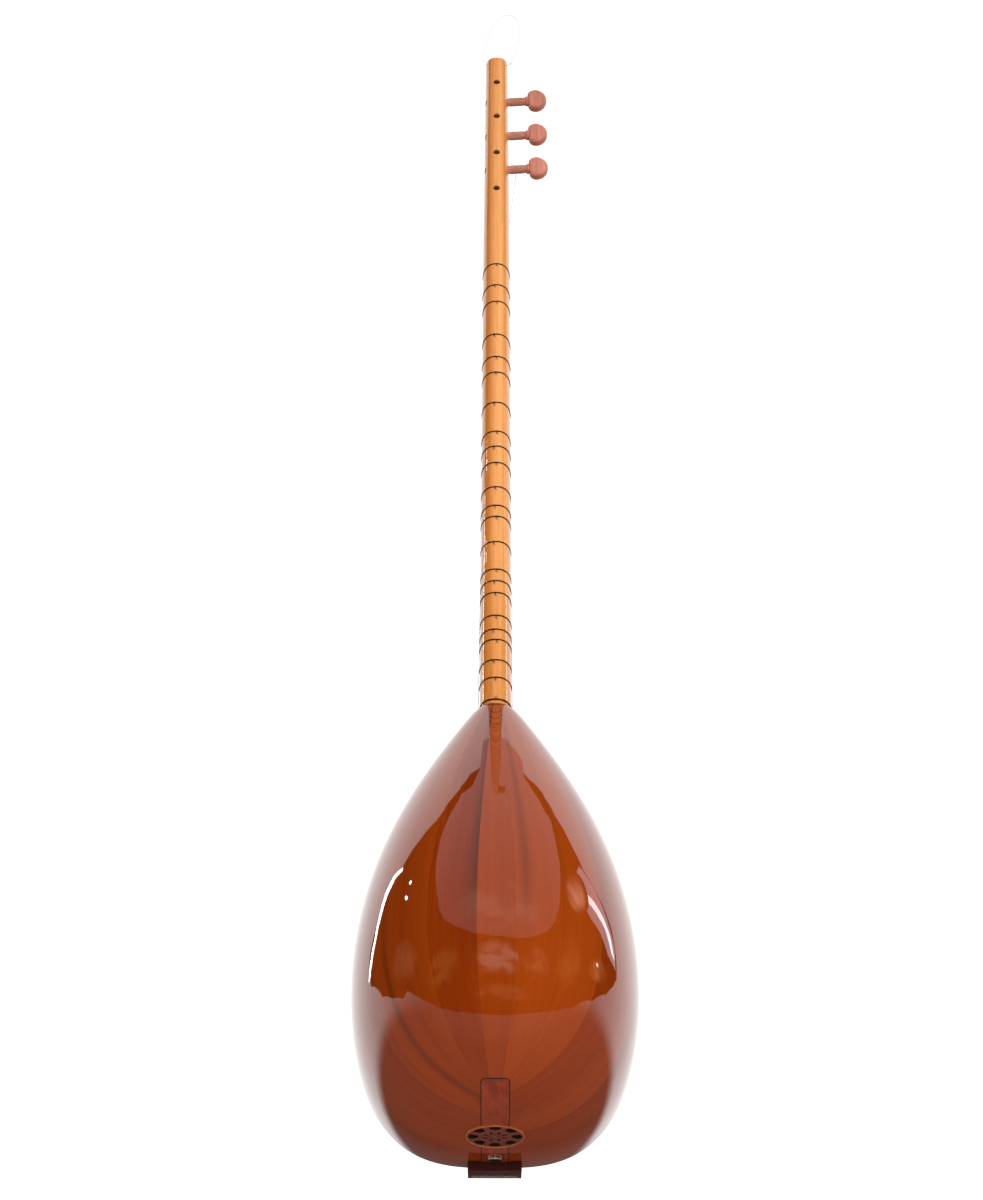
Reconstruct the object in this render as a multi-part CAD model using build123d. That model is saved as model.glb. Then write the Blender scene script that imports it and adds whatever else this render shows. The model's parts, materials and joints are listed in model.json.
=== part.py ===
"""Long-neck baglama saz: stave-built bowl, neck with tied frets, seven friction pegs and seven strings.

Frame: +Z runs along the neck towards the head, the soundboard faces -Y, and the bowl swells towards +Y.
The origin is on the flat bottom of the tailpiece, below the centre of the soundboard's tail edge.
All sizes are in millimetres.
"""

import math
import os

from build123d import *

# Lengths along the neck
SCALE_LENGTH = 880.0
NUT_TO_JOINT = 553.5
BOWL_LENGTH = 403.5
HEAD_LENGTH = 262.0
TAILPIECE_DROP = 7.0

TAIL_Z = TAILPIECE_DROP
JOINT_Z = TAIL_Z + BOWL_LENGTH
NUT_Z = JOINT_Z + NUT_TO_JOINT
BRIDGE_Z = NUT_Z - SCALE_LENGTH
HEAD_TOP_Z = NUT_Z + HEAD_LENGTH

# Neck: half widths and depths of its deep U section, and the power of that curve
NECK_HALF_JOINT = 14.8
NECK_HALF_NUT = 14.1
NECK_HALF_TOP = 12.6
NECK_DEPTH_JOINT = 28.0
NECK_DEPTH_NUT = 26.0
NECK_DEPTH_TOP = 25.0
SECTION_POWER = 2.3
SECTION_POINTS = 14
HEAD_FACE_FALL = 4.0
HEAD_CORNER = 2.0
HEAD_TOP_SLOPE = 20.0

# Bowl: see half_width() and depth()
SIDE_SWELL = 220.3
SIDE_TAIL_POWER = 0.331
SIDE_NECK_POWER = 0.515
SIDE_FALL = 0.207
SIDE_TAPER = 0.494
SIDE_TAPER_POWER = 4
BACK_SWELL = 670.0
BACK_TAIL_POWER = 0.5
BACK_FALL = 0.62
BACK_CURVE = 0.22
TAIL_FLAT = 0.001
BOWL_STATIONS = 16
STATION_POWER = 2.4
WIDEST = 0.34
DEEPEST = 0.29
BOWL_WALL = 3.5
CAP_THICKNESS = 0.8

# Staves: seam angles across the widest section, and where each seam ends beside the tail cap
SEAM_ANGLES = (5.0, 22.0, 40.0, 53.0, 65.0, 76.0)
SEAM_TAIL_X = (4.0, 8.0, 11.0, 11.0, 11.0, 11.0)
SEAM_TAIL_Y = (170.0, 168.0, 158.0, 124.0, 88.0, 50.0)

# Soundboard and its edging
BOARD_THICKNESS = 3.0
BINDING_WIDTH = 2.0
TONGUE_LENGTH = 30.0
TONGUE_HALF = 14.0
TONGUE_SHOULDER = 8.0

# Blocks inside the bowl, a glue line clear of the staves
BLOCK_GAP = 0.8
NECK_BLOCK_LENGTH = 52.0
TAIL_BLOCK_HALF = 44.0
TAIL_BLOCK_DEPTH = 55.0
TAIL_BLOCK_HEIGHT = 12.0
TENON_WIDTH = 13.0
TENON_DEPTH = 14.0
TENON_LENGTH = 34.0

# Tail fittings
CAP_HALF = 11.0
CAP_TOP_Y = 163.0
CAP_CORNER = 5.0
TAILPIECE_WIDTH = 43.0
TAILPIECE_FRONT_Y = -4.4
TAILPIECE_BACK_Y = 24.7
BORDER_OFFSETS = (2.0, 9.0)
BORDER_MARGIN = 1.5
BORDER_WIDTH = 0.4
BORDER_DEPTH = 0.3
LIP_TOP_Z = 13.0
STRING_HOLE_DEPTH = 4.0
ROSETTE_Y = 83.0
ROSETTE_TILT = 8.5
ROSETTE_RADIUS = 21.0
ROSETTE_RING_WIDTH = 2.0
ROSETTE_THICKNESS = 3.0
ROSETTE_PETALS = 8
ROSETTE_LIFT = 0.3
PETAL_INNER = (13.0, 2.6)
PETAL_OUTER = (18.6, 5.6)
PETAL_END = 19.4
PETAL_CORNER = 0.8
LEAF_CIRCLE = 8.0
LEAF_HALF_LENGTH = 2.4
LEAF_HALF_WIDTH = 1.0
DOT_CIRCLE = 4.6
DOT_RADIUS = 0.8
JACK_Y = 34.0
JACK_SEAT_Z = 8.7
JACK_NUT_RADIUS = 6.25
JACK_NUT_HEIGHT = 2.6
JACK_BODY_RADIUS = 4.5
JACK_BORE_RADIUS = 3.25
JACK_BODY_LENGTH = 17.0
JACK_SEAT_CLEARANCE = 0.15
JACK_NUT_CHAMFER = 0.6
PICKUP_RADIUS = 13.5
PICKUP_THICKNESS = 0.6

# Bridge and nut
BRIDGE_HEIGHT = 7.0
BRIDGE_BASE_WIDTH = 62.0
BRIDGE_TOP_WIDTH = 50.0
BRIDGE_BASE_THICKNESS = 9.0
BRIDGE_TOP_THICKNESS = 2.6
BRIDGE_ARCH_RADIUS = 4.0
BRIDGE_ARCH_X = 15.0
NUT_HEIGHT = 2.2
NUT_THICKNESS = 4.0
NUT_ROUNDING = 0.8

# Pegs: heights above the nut, and sizes along a peg measured outwards from the head's surface
FRONT_PEG_HEIGHTS = (60.7, 112.1, 165.6, 216.7)
SIDE_PEG_HEIGHTS = (98.2, 147.4, 198.0)
SIDE_PEG_Y = 12.5
SIDE_PEG_TILT = 4.5
PEG_SHAFT_RADIUS = 4.3
PEG_TIP_RADIUS = 3.5
PEG_TAPER_LENGTH = 24.0
PEG_BORE_LENGTH = 36.0
PEG_CLEARANCE = 0.05
PEG_NECK_LENGTH = 19.5
COLLAR_RADIUS = 5.4
COLLAR_LENGTH = 3.5
COLLAR_ROUNDING = 1.2
BUTTON_LENGTH = 20.5
BUTTON_WIDTH = 26.5
BUTTON_THICKNESS = 10.5
BUTTON_ROUNDING = 3.2
PEG_TIP_RECESS = 2.5
STRING_HOLE_RADIUS = 0.7
WINDING_START = 3.0
WINDING_TURNS = 12
WINDING_PITCH = 0.8
WINDING_GAP = 0.35

# Strings: diameter, then distance from the centre line at the nut and at the bridge
STRINGS = (
    (0.50, -10.3, -18.8),
    (0.25, -8.6, -16.0),
    (0.25, -0.9, -1.6),
    (0.25, 0.9, 1.6),
    (0.25, 7.4, 13.4),
    (0.25, 9.1, 16.2),
    (0.50, 10.8, 19.0),
)
STRING_LIFT = 0.45
STRING_BEND = 1.5
STRING_CLEARANCE = 0.05
HEAD_EDGE_GAP = 0.4
TAIL_SPREAD = 0.9

# Tied frets: intervals above the open string in cents
FRET_CENTS = (
    89, 148, 195, 291, 358, 406, 501, 595, 645, 701, 786, 853,
    894, 990, 1099, 1146, 1196, 1294, 1356, 1403, 1499, 1585, 1698,
)
FRET_THICKNESS = 0.85
FRET_CLEARANCE = 0.08

# Hanging loop: a thin wire whose two ends enter a cross hole in the head
LOOP_DIAMETER = 0.5
LOOP_HOLE_RADIUS = 0.7
LOOP_HOLE_Z = NUT_Z + 253.5
LOOP_Y = 14.0
LOOP_ROUTE = (
    (8.5, 0.0, 0.0),
    (13.9, 0.0, 0.2),
    (14.9, -0.3, 4.5),
    (15.8, -1.0, 13.0),
    (14.6, -1.6, 28.0),
    (11.8, -1.4, 42.0),
    (6.4, -1.0, 57.0),
    (-1.6, -0.4, 72.0),
    (-13.0, 0.4, 81.5),
    (-23.0, 1.2, 73.0),
    (-26.2, 1.6, 56.0),
    (-25.2, 1.4, 38.0),
    (-20.8, 0.8, 20.0),
    (-18.2, 0.4, 9.5),
    (-16.8, 0.2, 4.0),
    (-13.9, 0.0, 0.2),
    (-8.5, 0.0, 0.0),
)


def half_width(t):
    """Half the soundboard's width at the share t of the bowl's length, from the tail."""
    swell = SIDE_SWELL * t**SIDE_TAIL_POWER * (1 - t) ** SIDE_NECK_POWER
    return NECK_HALF_JOINT * t + swell * (1 - SIDE_FALL * t - SIDE_TAPER * t**SIDE_TAPER_POWER)


def depth(t):
    """Depth of the bowl's centre line behind the soundboard at the share t of its length."""
    swell = BACK_SWELL * t**BACK_TAIL_POWER * (1 - t)
    return NECK_DEPTH_JOINT * t + swell * (1 - BACK_FALL * t + BACK_CURVE * t * t)


def section_point(half, deep, angle):
    """Point of a U section, at an angle in degrees from the middle of its back."""
    sine = math.sin(math.radians(abs(angle)))
    cosine = max(math.cos(math.radians(angle)), 0.0)
    x = half * sine ** (2 / SECTION_POWER)
    return math.copysign(x, angle), deep * cosine ** (2 / SECTION_POWER)


def section_face(half, deep, z):
    """Flat-fronted U section at the height z."""
    steps = range(SECTION_POINTS + 1)
    angles = [90 - 180 * step / SECTION_POINTS for step in steps]
    points = [(*section_point(half, deep, angle), z) for angle in angles]
    back = Spline(*points, tangents=[(0, 1, 0), (0, -1, 0)])
    return make_face([back, Line(points[-1], points[0])])


def box_between(low, high):
    """Box from its lowest to its highest corner."""
    size = [high[axis] - low[axis] for axis in range(3)]
    middle = [(high[axis] + low[axis]) / 2 for axis in range(3)]
    return Pos(*middle) * Box(*size)


def bowl_form(inset):
    """Solid shape of the bowl with its outside moved in by the inset."""
    across = 1 - inset / half_width(WIDEST)
    back = 1 - inset / depth(DEEPEST)
    along = 1 - 2 * inset / BOWL_LENGTH
    sections = []
    for step in range(BOWL_STATIONS + 1):
        t = TAIL_FLAT + (1 - TAIL_FLAT) * (step / BOWL_STATIONS) ** STATION_POWER
        z = TAIL_Z + inset + along * BOWL_LENGTH * t
        sections.append(section_face(half_width(t) * across, depth(t) * back, z))
    return Solid(loft(sections).wrapped)


def neck_size(z):
    """Half width and depth of the neck at the height z."""
    if z < NUT_Z:
        share = (z - JOINT_Z) / NUT_TO_JOINT
        half = NECK_HALF_JOINT + share * (NECK_HALF_NUT - NECK_HALF_JOINT)
        return half, NECK_DEPTH_JOINT + share * (NECK_DEPTH_NUT - NECK_DEPTH_JOINT)
    share = (z - NUT_Z) / HEAD_LENGTH
    half = NECK_HALF_NUT + share * (NECK_HALF_TOP - NECK_HALF_NUT)
    return half, NECK_DEPTH_NUT + share * (NECK_DEPTH_TOP - NECK_DEPTH_NUT)


def head_face_y(z):
    """Front face of the head, which falls back behind the nut."""
    return HEAD_FACE_FALL * max(z - NUT_Z - NUT_THICKNESS, 0.0) / (HEAD_LENGTH - NUT_THICKNESS)


def seam_plane(number):
    """Plane of one seam between two staves, through the neck joint, the widest section and the tail."""
    angle = SEAM_ANGLES[number]
    joint = section_point(NECK_HALF_JOINT, NECK_DEPTH_JOINT, angle)
    middle = section_point(half_width(WIDEST), depth(WIDEST), angle)
    a = Vector(*joint, JOINT_Z)
    b = Vector(*middle, TAIL_Z + WIDEST * BOWL_LENGTH)
    c = Vector(SEAM_TAIL_X[number], SEAM_TAIL_Y[number], TAIL_Z)
    normal = (b - a).cross(c - a)
    if normal.X < 0:
        normal = -normal
    return Plane(origin=a, z_dir=normal)


def rosette_plane():
    """Plane of the sound hole's outer face, with its normal pointing out of the bowl."""
    height = BOWL_LENGTH * (ROSETTE_Y / BACK_SWELL) ** 2
    tilt = math.radians(ROSETTE_TILT)
    outwards = (0, math.sin(tilt), -math.cos(tilt))
    origin = (0, ROSETTE_Y, TAIL_Z + height + ROSETTE_LIFT)
    return Plane(origin=origin, x_dir=(1, 0, 0), z_dir=outwards)


def rosette_cutter():
    """Cylinder through the bowl's wall where the rosette and its ring sit."""
    radius = ROSETTE_RADIUS + ROSETTE_RING_WIDTH
    return rosette_plane() * Cylinder(radius, 6 * ROSETTE_THICKNESS)


def jack_cutter():
    """Stepped hole for the output jack through the tail."""
    place = Pos(0, JACK_Y, JACK_SEAT_Z)
    down = (Align.CENTER, Align.CENTER, Align.MAX)
    seat = Cylinder(JACK_NUT_RADIUS + JACK_SEAT_CLEARANCE, JACK_BODY_LENGTH, align=down)
    return place * (seat + Cylinder(JACK_BODY_RADIUS, 2 * JACK_BODY_LENGTH))


def tongue():
    """Pointed end of the neck's face that runs down into the soundboard."""
    half = TONGUE_HALF
    shoulder = JOINT_Z - TONGUE_SHOULDER
    tip = JOINT_Z - TONGUE_LENGTH
    points = ((-half, JOINT_Z), (-half, shoulder), (0, tip), (half, shoulder), (half, JOINT_Z))
    outline = make_face(Polyline(*points, close=True))
    front = Plane((0, BOARD_THICKNESS, 0), x_dir=(1, 0, 0), z_dir=(0, -1, 0))
    return front * extrude(outline, BOARD_THICKNESS)


def tenon():
    """Block under the neck's end that is glued into the neck block."""
    low = (-TENON_WIDTH / 2, BOARD_THICKNESS, JOINT_Z - TENON_LENGTH)
    return box_between(low, (TENON_WIDTH / 2, BOARD_THICKNESS + TENON_DEPTH, JOINT_Z))


def make_bowl(outer, inner):
    """Thirteen staves, cut from one shell along planar seams."""
    front = box_between((-200, -1, 0), (200, BOARD_THICKNESS, HEAD_TOP_Z))
    shell = outer - inner - front - rosette_cutter() - jack_cutter() - tenon()
    half = split(shell, Plane.YZ, keep=Keep.TOP)
    middle = split(half, seam_plane(0), keep=Keep.BOTTOM)
    centre = middle + mirror(middle, Plane.YZ)
    rest = split(half, seam_plane(0), keep=Keep.TOP)
    one_side = []
    for number in range(1, len(SEAM_ANGLES)):
        one_side.append(split(rest, seam_plane(number), keep=Keep.BOTTOM))
        rest = split(rest, seam_plane(number), keep=Keep.TOP)
    one_side.append(rest)
    staves = [centre] + one_side + [mirror(stave, Plane.YZ) for stave in one_side]
    return Compound(children=[stave.solid() for stave in staves])


def make_board(outer, inside):
    """Soundboard and the edging around it."""
    slab = box_between((-200, 0, 0), (200, BOARD_THICKNESS, HEAD_TOP_Z))
    joint = tongue()
    board = (inside & slab) - joint
    binding = (outer & slab) - inside - joint
    return board, binding


def make_blocks():
    """Blocks that hold the stave ends at the neck and at the tail."""
    inside = bowl_form(BOWL_WALL + BLOCK_GAP)
    top = box_between((-100, BOARD_THICKNESS, JOINT_Z - NECK_BLOCK_LENGTH), (100, 300, JOINT_Z))
    neck_block = (inside & top) - tenon()
    tail_top = TAIL_Z + BOWL_WALL + TAIL_BLOCK_HEIGHT
    low = (-TAIL_BLOCK_HALF, BOARD_THICKNESS, 0)
    bottom = box_between(low, (TAIL_BLOCK_HALF, TAIL_BLOCK_DEPTH, tail_top))
    tail_block = (inside & bottom) - jack_cutter()
    return neck_block, tail_block


def make_cap(outer):
    """Thin strip over the stave ends at the tail, with a rounded top, open round the rosette."""
    skin = bowl_form(-CAP_THICKNESS) - outer
    middle = (TAILPIECE_BACK_Y + CAP_TOP_Y) / 2
    length = CAP_TOP_Y - TAILPIECE_BACK_Y
    strip = Pos(0, middle, 0) * extrude(Rectangle(2 * CAP_HALF, length), 60)
    corners = strip.edges().filter_by(Axis.Z).group_by(Axis.Y)[-1]
    strip = fillet(corners, CAP_CORNER)
    return (skin & strip) - rosette_cutter() - jack_cutter()


def make_tailpiece():
    """Block under the tail whose front lip anchors the strings."""
    block_top = TAIL_Z + TAIL_FLAT * BOWL_LENGTH
    half = TAILPIECE_WIDTH / 2
    block = box_between((-half, TAILPIECE_FRONT_Y, 0), (half, TAILPIECE_BACK_Y, block_top))
    lip = box_between((-half, TAILPIECE_FRONT_Y, 0), (half, 0, LIP_TOP_Z))
    body = block + lip
    for line in tailpiece_lines():
        body -= line
    for diameter, _, bridge_x in STRINGS:
        path = tail_run(bridge_x)
        radius = diameter / 2 + STRING_CLEARANCE
        hole = Cylinder(radius, LIP_TOP_Z, align=(Align.CENTER, Align.CENTER, Align.MIN))
        body -= Plane(path @ 0, z_dir=path % 0) * hole
    return body


def tailpiece_lines():
    """Two shallow border grooves across the bottom face."""
    half = TAILPIECE_WIDTH / 2 - BORDER_MARGIN
    for offset in BORDER_OFFSETS:
        low = TAILPIECE_FRONT_Y + offset - BORDER_WIDTH / 2
        yield box_between((-half, low, -BORDER_DEPTH), (half, low + BORDER_WIDTH, BORDER_DEPTH))


def tail_run(bridge_x):
    """Straight run of a string from inside the tailpiece's lip to the bridge."""
    start = Vector(bridge_x * TAIL_SPREAD, TAILPIECE_FRONT_Y / 2, LIP_TOP_Z)
    end = Vector(bridge_x, -BRIDGE_HEIGHT - STRING_LIFT, BRIDGE_Z)
    along = (end - start).normalized()
    return Line(start - along * STRING_HOLE_DEPTH, end)


def make_rosette():
    """Carved disc of the sound hole and the pale ring around it."""
    plane = rosette_plane()
    align = (Align.CENTER, Align.CENTER, Align.MAX)
    disc = Cylinder(ROSETTE_RADIUS, ROSETTE_THICKNESS, align=align)
    ring = Cylinder(ROSETTE_RADIUS + ROSETTE_RING_WIDTH, ROSETTE_THICKNESS, align=align) - disc
    petal = petal_face()
    leaf = Pos(LEAF_CIRCLE, 0) * Ellipse(LEAF_HALF_LENGTH, LEAF_HALF_WIDTH)
    dot = Pos(DOT_CIRCLE, 0) * Circle(DOT_RADIUS)
    for number in range(ROSETTE_PETALS):
        turn = 360 * number / ROSETTE_PETALS
        disc -= extrude(Rot(0, 0, turn) * petal, -ROSETTE_THICKNESS)
        disc -= extrude(Rot(0, 0, turn + 180 / ROSETTE_PETALS) * leaf, -ROSETTE_THICKNESS)
        disc -= extrude(Rot(0, 0, turn) * dot, -ROSETTE_THICKNESS)
    return plane * disc, plane * ring


def petal_face():
    """Outline of one opening beside the rosette's rim."""
    near, far = Vector(*PETAL_INNER), Vector(*PETAL_OUTER)
    near_low, far_low = Vector(near.X, -near.Y), Vector(far.X, -far.Y)
    rim = ThreePointArc(far_low, (PETAL_END, 0), far)
    sides = [Line(near_low, far_low), Line(far, near), Line(near, near_low)]
    outline = make_face([rim] + sides)
    return fillet(outline.vertices(), PETAL_CORNER)


def make_jack():
    """Ring nut outside the tail and the threaded sleeve that takes the plug."""
    seat = Pos(0, JACK_Y, JACK_SEAT_Z)
    down = (Align.CENTER, Align.CENTER, Align.MAX)
    up = (Align.CENTER, Align.CENTER, Align.MIN)
    nut = Cylinder(JACK_NUT_RADIUS, JACK_NUT_HEIGHT, align=down)
    nut = chamfer(nut.edges().group_by(Axis.Z)[0], JACK_NUT_CHAMFER)
    nut -= Cylinder(JACK_BODY_RADIUS, JACK_NUT_HEIGHT, align=down)
    bottom = Pos(0, 0, -JACK_NUT_HEIGHT)
    sleeve = bottom * Cylinder(JACK_BODY_RADIUS, JACK_BODY_LENGTH, align=up)
    sleeve -= bottom * Cylinder(JACK_BORE_RADIUS, JACK_BODY_LENGTH, align=up)
    return seat * nut, seat * sleeve


def make_pickup():
    """Disc pickup glued behind the soundboard under the bridge."""
    y = BOARD_THICKNESS + PICKUP_THICKNESS / 2
    return Pos(0, y, BRIDGE_Z) * Rot(90, 0, 0) * Cylinder(PICKUP_RADIUS, PICKUP_THICKNESS)


def make_bridge():
    """Movable bridge: a tapered bar with two arches, standing on the soundboard."""
    front = Plane((0, 0, BRIDGE_Z), x_dir=(1, 0, 0), z_dir=(0, -1, 0))
    foot = front * Rectangle(BRIDGE_BASE_WIDTH, BRIDGE_BASE_THICKNESS)
    top = front * Pos(0, 0, BRIDGE_HEIGHT) * Rectangle(BRIDGE_TOP_WIDTH, BRIDGE_TOP_THICKNESS)
    bar = Solid(loft([foot.face(), top.face()]).wrapped)
    for x in (-BRIDGE_ARCH_X, BRIDGE_ARCH_X):
        bar -= Pos(x, 0, BRIDGE_Z) * Cylinder(BRIDGE_ARCH_RADIUS, 2 * BRIDGE_BASE_THICKNESS)
    return bar


def make_nut():
    """Grooved string nut across the top of the fingerboard."""
    low = (-NECK_HALF_NUT, -NUT_HEIGHT, NUT_Z)
    bar = box_between(low, (NECK_HALF_NUT, 0, NUT_Z + NUT_THICKNESS))
    front = bar.edges().filter_by(Axis.X).group_by(Axis.Y)[0]
    return fillet(front, NUT_ROUNDING)


def head_top_plane():
    """End face of the head, which slopes down towards its back."""
    slope = math.radians(HEAD_TOP_SLOPE)
    return Plane(origin=(0, HEAD_FACE_FALL, HEAD_TOP_Z), z_dir=(0, math.sin(slope), math.cos(slope)))


def make_neck():
    """Neck and head in one piece, with peg holes, the loop's cross hole and the tenon."""
    ends = (
        (NECK_HALF_JOINT, NECK_DEPTH_JOINT, JOINT_Z),
        (NECK_HALF_NUT, NECK_DEPTH_NUT, NUT_Z),
        (NECK_HALF_TOP, NECK_DEPTH_TOP, HEAD_TOP_Z),
    )
    shaft = Solid(loft([section_face(*end) for end in ends], ruled=True).wrapped)
    shaft = split(shaft, head_top_plane(), keep=Keep.BOTTOM)
    shaft = fillet(shaft.faces().sort_by(Axis.Z)[-1].edges(), HEAD_CORNER)
    face_start = NUT_Z + NUT_THICKNESS
    wedge = make_face(
        Polyline(
            (0, face_start),
            (HEAD_FACE_FALL, HEAD_TOP_Z),
            (HEAD_FACE_FALL, HEAD_TOP_Z + 10),
            (-5, HEAD_TOP_Z + 10),
            (-5, face_start),
            close=True,
        )
    )
    wedge = Plane((0, 0, 0), x_dir=(0, 1, 0), z_dir=(1, 0, 0)) * extrude(wedge, 40, both=True)
    neck = shaft - wedge + tongue() + tenon()
    for place in front_peg_places() + side_peg_places():
        neck -= place * peg_bore()
    cross = Pos(0, LOOP_Y, LOOP_HOLE_Z) * Rot(0, 90, 0) * Cylinder(LOOP_HOLE_RADIUS, 60)
    return neck - cross


def front_peg_places():
    """Place of each front peg: the head's front face, with the peg's length outwards."""
    places = []
    for height in FRONT_PEG_HEIGHTS:
        z = NUT_Z + height
        place = Plane((0, head_face_y(z), z), x_dir=(0, 0, 1), z_dir=(0, -1, 0))
        places.append(Location(place))
    return places


def side_peg_places():
    """Place of each side peg: the head's side, with the peg's length outwards and a little up."""
    tilt = math.radians(SIDE_PEG_TILT)
    outwards = (-math.cos(tilt), 0, math.sin(tilt))
    places = []
    for height in SIDE_PEG_HEIGHTS:
        z = NUT_Z + height
        start = (-neck_size(z)[0], SIDE_PEG_Y, z)
        place = Plane(start, x_dir=(math.sin(tilt), 0, math.cos(tilt)), z_dir=outwards)
        places.append(Location(place))
    return places


def peg_taper(grow, length):
    """Cone of a peg's seat, from the head's surface inwards; it grows by the clearance for the bore."""
    slope = (PEG_SHAFT_RADIUS - PEG_TIP_RADIUS) / PEG_TAPER_LENGTH
    tip = PEG_SHAFT_RADIUS - slope * length
    cone = Cone(tip + grow, PEG_SHAFT_RADIUS + grow, length)
    return Pos(0, 0, -length / 2) * cone


def peg_bore():
    """Tapered through hole for a peg."""
    entry = Cylinder(PEG_SHAFT_RADIUS + PEG_CLEARANCE, WINDING_START)
    return peg_taper(PEG_CLEARANCE, PEG_BORE_LENGTH) + Pos(0, 0, WINDING_START / 2) * entry


def peg_button():
    """Flattened rounded grip, wide across the peg."""
    half = BUTTON_WIDTH / 2
    outline = Spline(
        (0, -0.5 * half),
        (0.12 * BUTTON_LENGTH, -0.86 * half),
        (0.45 * BUTTON_LENGTH, -half),
        (0.85 * BUTTON_LENGTH, -0.64 * half),
        (BUTTON_LENGTH, 0),
        (0.85 * BUTTON_LENGTH, 0.64 * half),
        (0.45 * BUTTON_LENGTH, half),
        (0.12 * BUTTON_LENGTH, 0.86 * half),
        (0, 0.5 * half),
    )
    face = make_face([outline, Line((0, 0.5 * half), (0, -0.5 * half))])
    grip = extrude(face, BUTTON_THICKNESS / 2, both=True)
    flat_edges = grip.edges().group_by(Axis.Z)
    grip = fillet(flat_edges[0] + flat_edges[-1], BUTTON_ROUNDING)
    return Plane((0, 0, 0), x_dir=(0, 0, 1), z_dir=(0, -1, 0)) * grip


def make_peg(seat_length):
    """Whole peg along +Z, with its seat below the origin and its grip above."""
    start = (Align.CENTER, Align.CENTER, Align.MIN)
    shaft = Cylinder(PEG_SHAFT_RADIUS, PEG_NECK_LENGTH, align=start)
    collar = Cylinder(COLLAR_RADIUS, COLLAR_LENGTH, align=start)
    collar = fillet(collar.edges(), COLLAR_ROUNDING)
    peg = peg_taper(0.0, seat_length) + shaft
    peg += Pos(0, 0, PEG_NECK_LENGTH - 0.5) * collar
    peg += Pos(0, 0, PEG_NECK_LENGTH + COLLAR_LENGTH - 1.0) * peg_button()
    hole = Pos(0, 0, PEG_NECK_LENGTH - 3) * Rot(90, 0, 0) * Cylinder(STRING_HOLE_RADIUS, 20)
    return Solid((peg - hole).solid().wrapped)


def make_winding(diameter):
    """Turns of a string round a peg, as one ribbed sleeve."""
    inner = PEG_SHAFT_RADIUS
    outer = inner + diameter
    points = [(inner, 0), (inner, WINDING_TURNS * WINDING_PITCH)]
    edges = [Line(*points)]
    edges.append(Line(points[1], (inner + diameter / 2, WINDING_TURNS * WINDING_PITCH)))
    for turn in reversed(range(WINDING_TURNS)):
        low = (inner + diameter / 2, turn * WINDING_PITCH)
        high = (inner + diameter / 2, (turn + 1) * WINDING_PITCH)
        edges.append(ThreePointArc(high, (outer, (turn + 0.5) * WINDING_PITCH), low))
    edges.append(Line((inner + diameter / 2, 0), points[0]))
    profile = make_face(edges)
    profile = Plane.XZ * profile
    return Pos(0, 0, WINDING_START) * revolve(profile, Axis.Z)


def string_end(number):
    """Last points of a string above the nut: over the head, then against its winding."""
    diameter, nut_x, _ = STRINGS[number]
    reach = PEG_SHAFT_RADIUS + 1.5 * diameter + WINDING_GAP
    along = WINDING_START + WINDING_TURNS * WINDING_PITCH / 2
    if number < len(SIDE_PEG_HEIGHTS):
        end = side_peg_places()[number] * Pos(0, -reach, along)
        end = Vector(*end.position)
        edge_x = -neck_size(end.Z)[0] - HEAD_EDGE_GAP
        edge_z = NUT_Z + (end.Z - NUT_Z) * (nut_x - edge_x) / (nut_x - end.X)
        return [Vector(edge_x, head_face_y(edge_z) - HEAD_EDGE_GAP, edge_z), end]
    z = NUT_Z + FRONT_PEG_HEIGHTS[number - len(SIDE_PEG_HEIGHTS)]
    return [Vector(reach, head_face_y(z) - along, z)]


def make_string(number):
    """One string, from the tailpiece over the bridge and the nut to its peg."""
    diameter, nut_x, bridge_x = STRINGS[number]
    run = tail_run(bridge_x)
    nut = Vector(nut_x, -NUT_HEIGHT - STRING_LIFT, NUT_Z + NUT_THICKNESS / 2)
    route = [run @ 0, run @ 1, nut] + string_end(number)
    path = FilletPolyline(*route, radius=STRING_BEND)
    start = Plane(path @ 0, z_dir=path % 0)
    return sweep(start * Circle(diameter / 2), path=path)


def make_fret(cents):
    """One tied fret: a closed thread round the neck, free to slide along it."""
    z = NUT_Z - SCALE_LENGTH * (1 - 2 ** (-cents / 1200))
    half, deep = neck_size(z)
    low = z - FRET_THICKNESS / 2
    inside = fret_outline(half, deep, FRET_CLEARANCE, low)
    outside = fret_outline(half, deep, FRET_CLEARANCE + FRET_THICKNESS, low)
    return extrude(outside - inside, FRET_THICKNESS, dir=(0, 0, 1))


def fret_outline(half, deep, grow, z):
    """U section of the neck grown on every side."""
    back = section_face(half + grow, deep + grow, z)
    front = Pos(0, -grow / 2, z) * Rectangle(2 * (half + grow), grow)
    return (back + front).face()


def make_loop():
    """Wire loop for hanging the instrument, as a tube of straight runs and tangent arcs."""
    route = [Vector(x, LOOP_Y + y, LOOP_HOLE_Z + z) for x, y, z in LOOP_ROUTE]
    radii = []
    for before, point, after in zip(route, route[1:], route[2:]):
        turn = math.radians((point - before).get_angle(after - point))
        shorter = min((point - before).length, (after - point).length)
        radii.append(0.45 * shorter / math.tan(turn / 2))
    print("loop radii", [round(radius, 1) for radius in radii])
    path = FilletPolyline(*route, radius=radii)
    start = Plane(path @ 0, z_dir=path % 0)
    tube = sweep(start * Circle(LOOP_DIAMETER / 2), path=path)
    expected = math.pi * LOOP_DIAMETER**2 / 4 * path.length
    print("loop length", round(path.length, 1))
    print("loop volume", round(tube.volume, 2), "of", round(expected, 2))
    return tube


def save(shape, name):
    """Write one sub-part."""
    export_step(shape, f"parts/{name}.step")


def save_pegs(kind, places, strings, through):
    """Write the pegs of one kind with their windings."""
    for number, place in enumerate(places):
        save(place * make_peg(through[number] - PEG_TIP_RECESS), f"peg_{kind}_{number + 1}")
        winding = make_winding(STRINGS[strings[number]][0])
        save(place * winding, f"winding_{kind}_{number + 1}")


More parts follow.
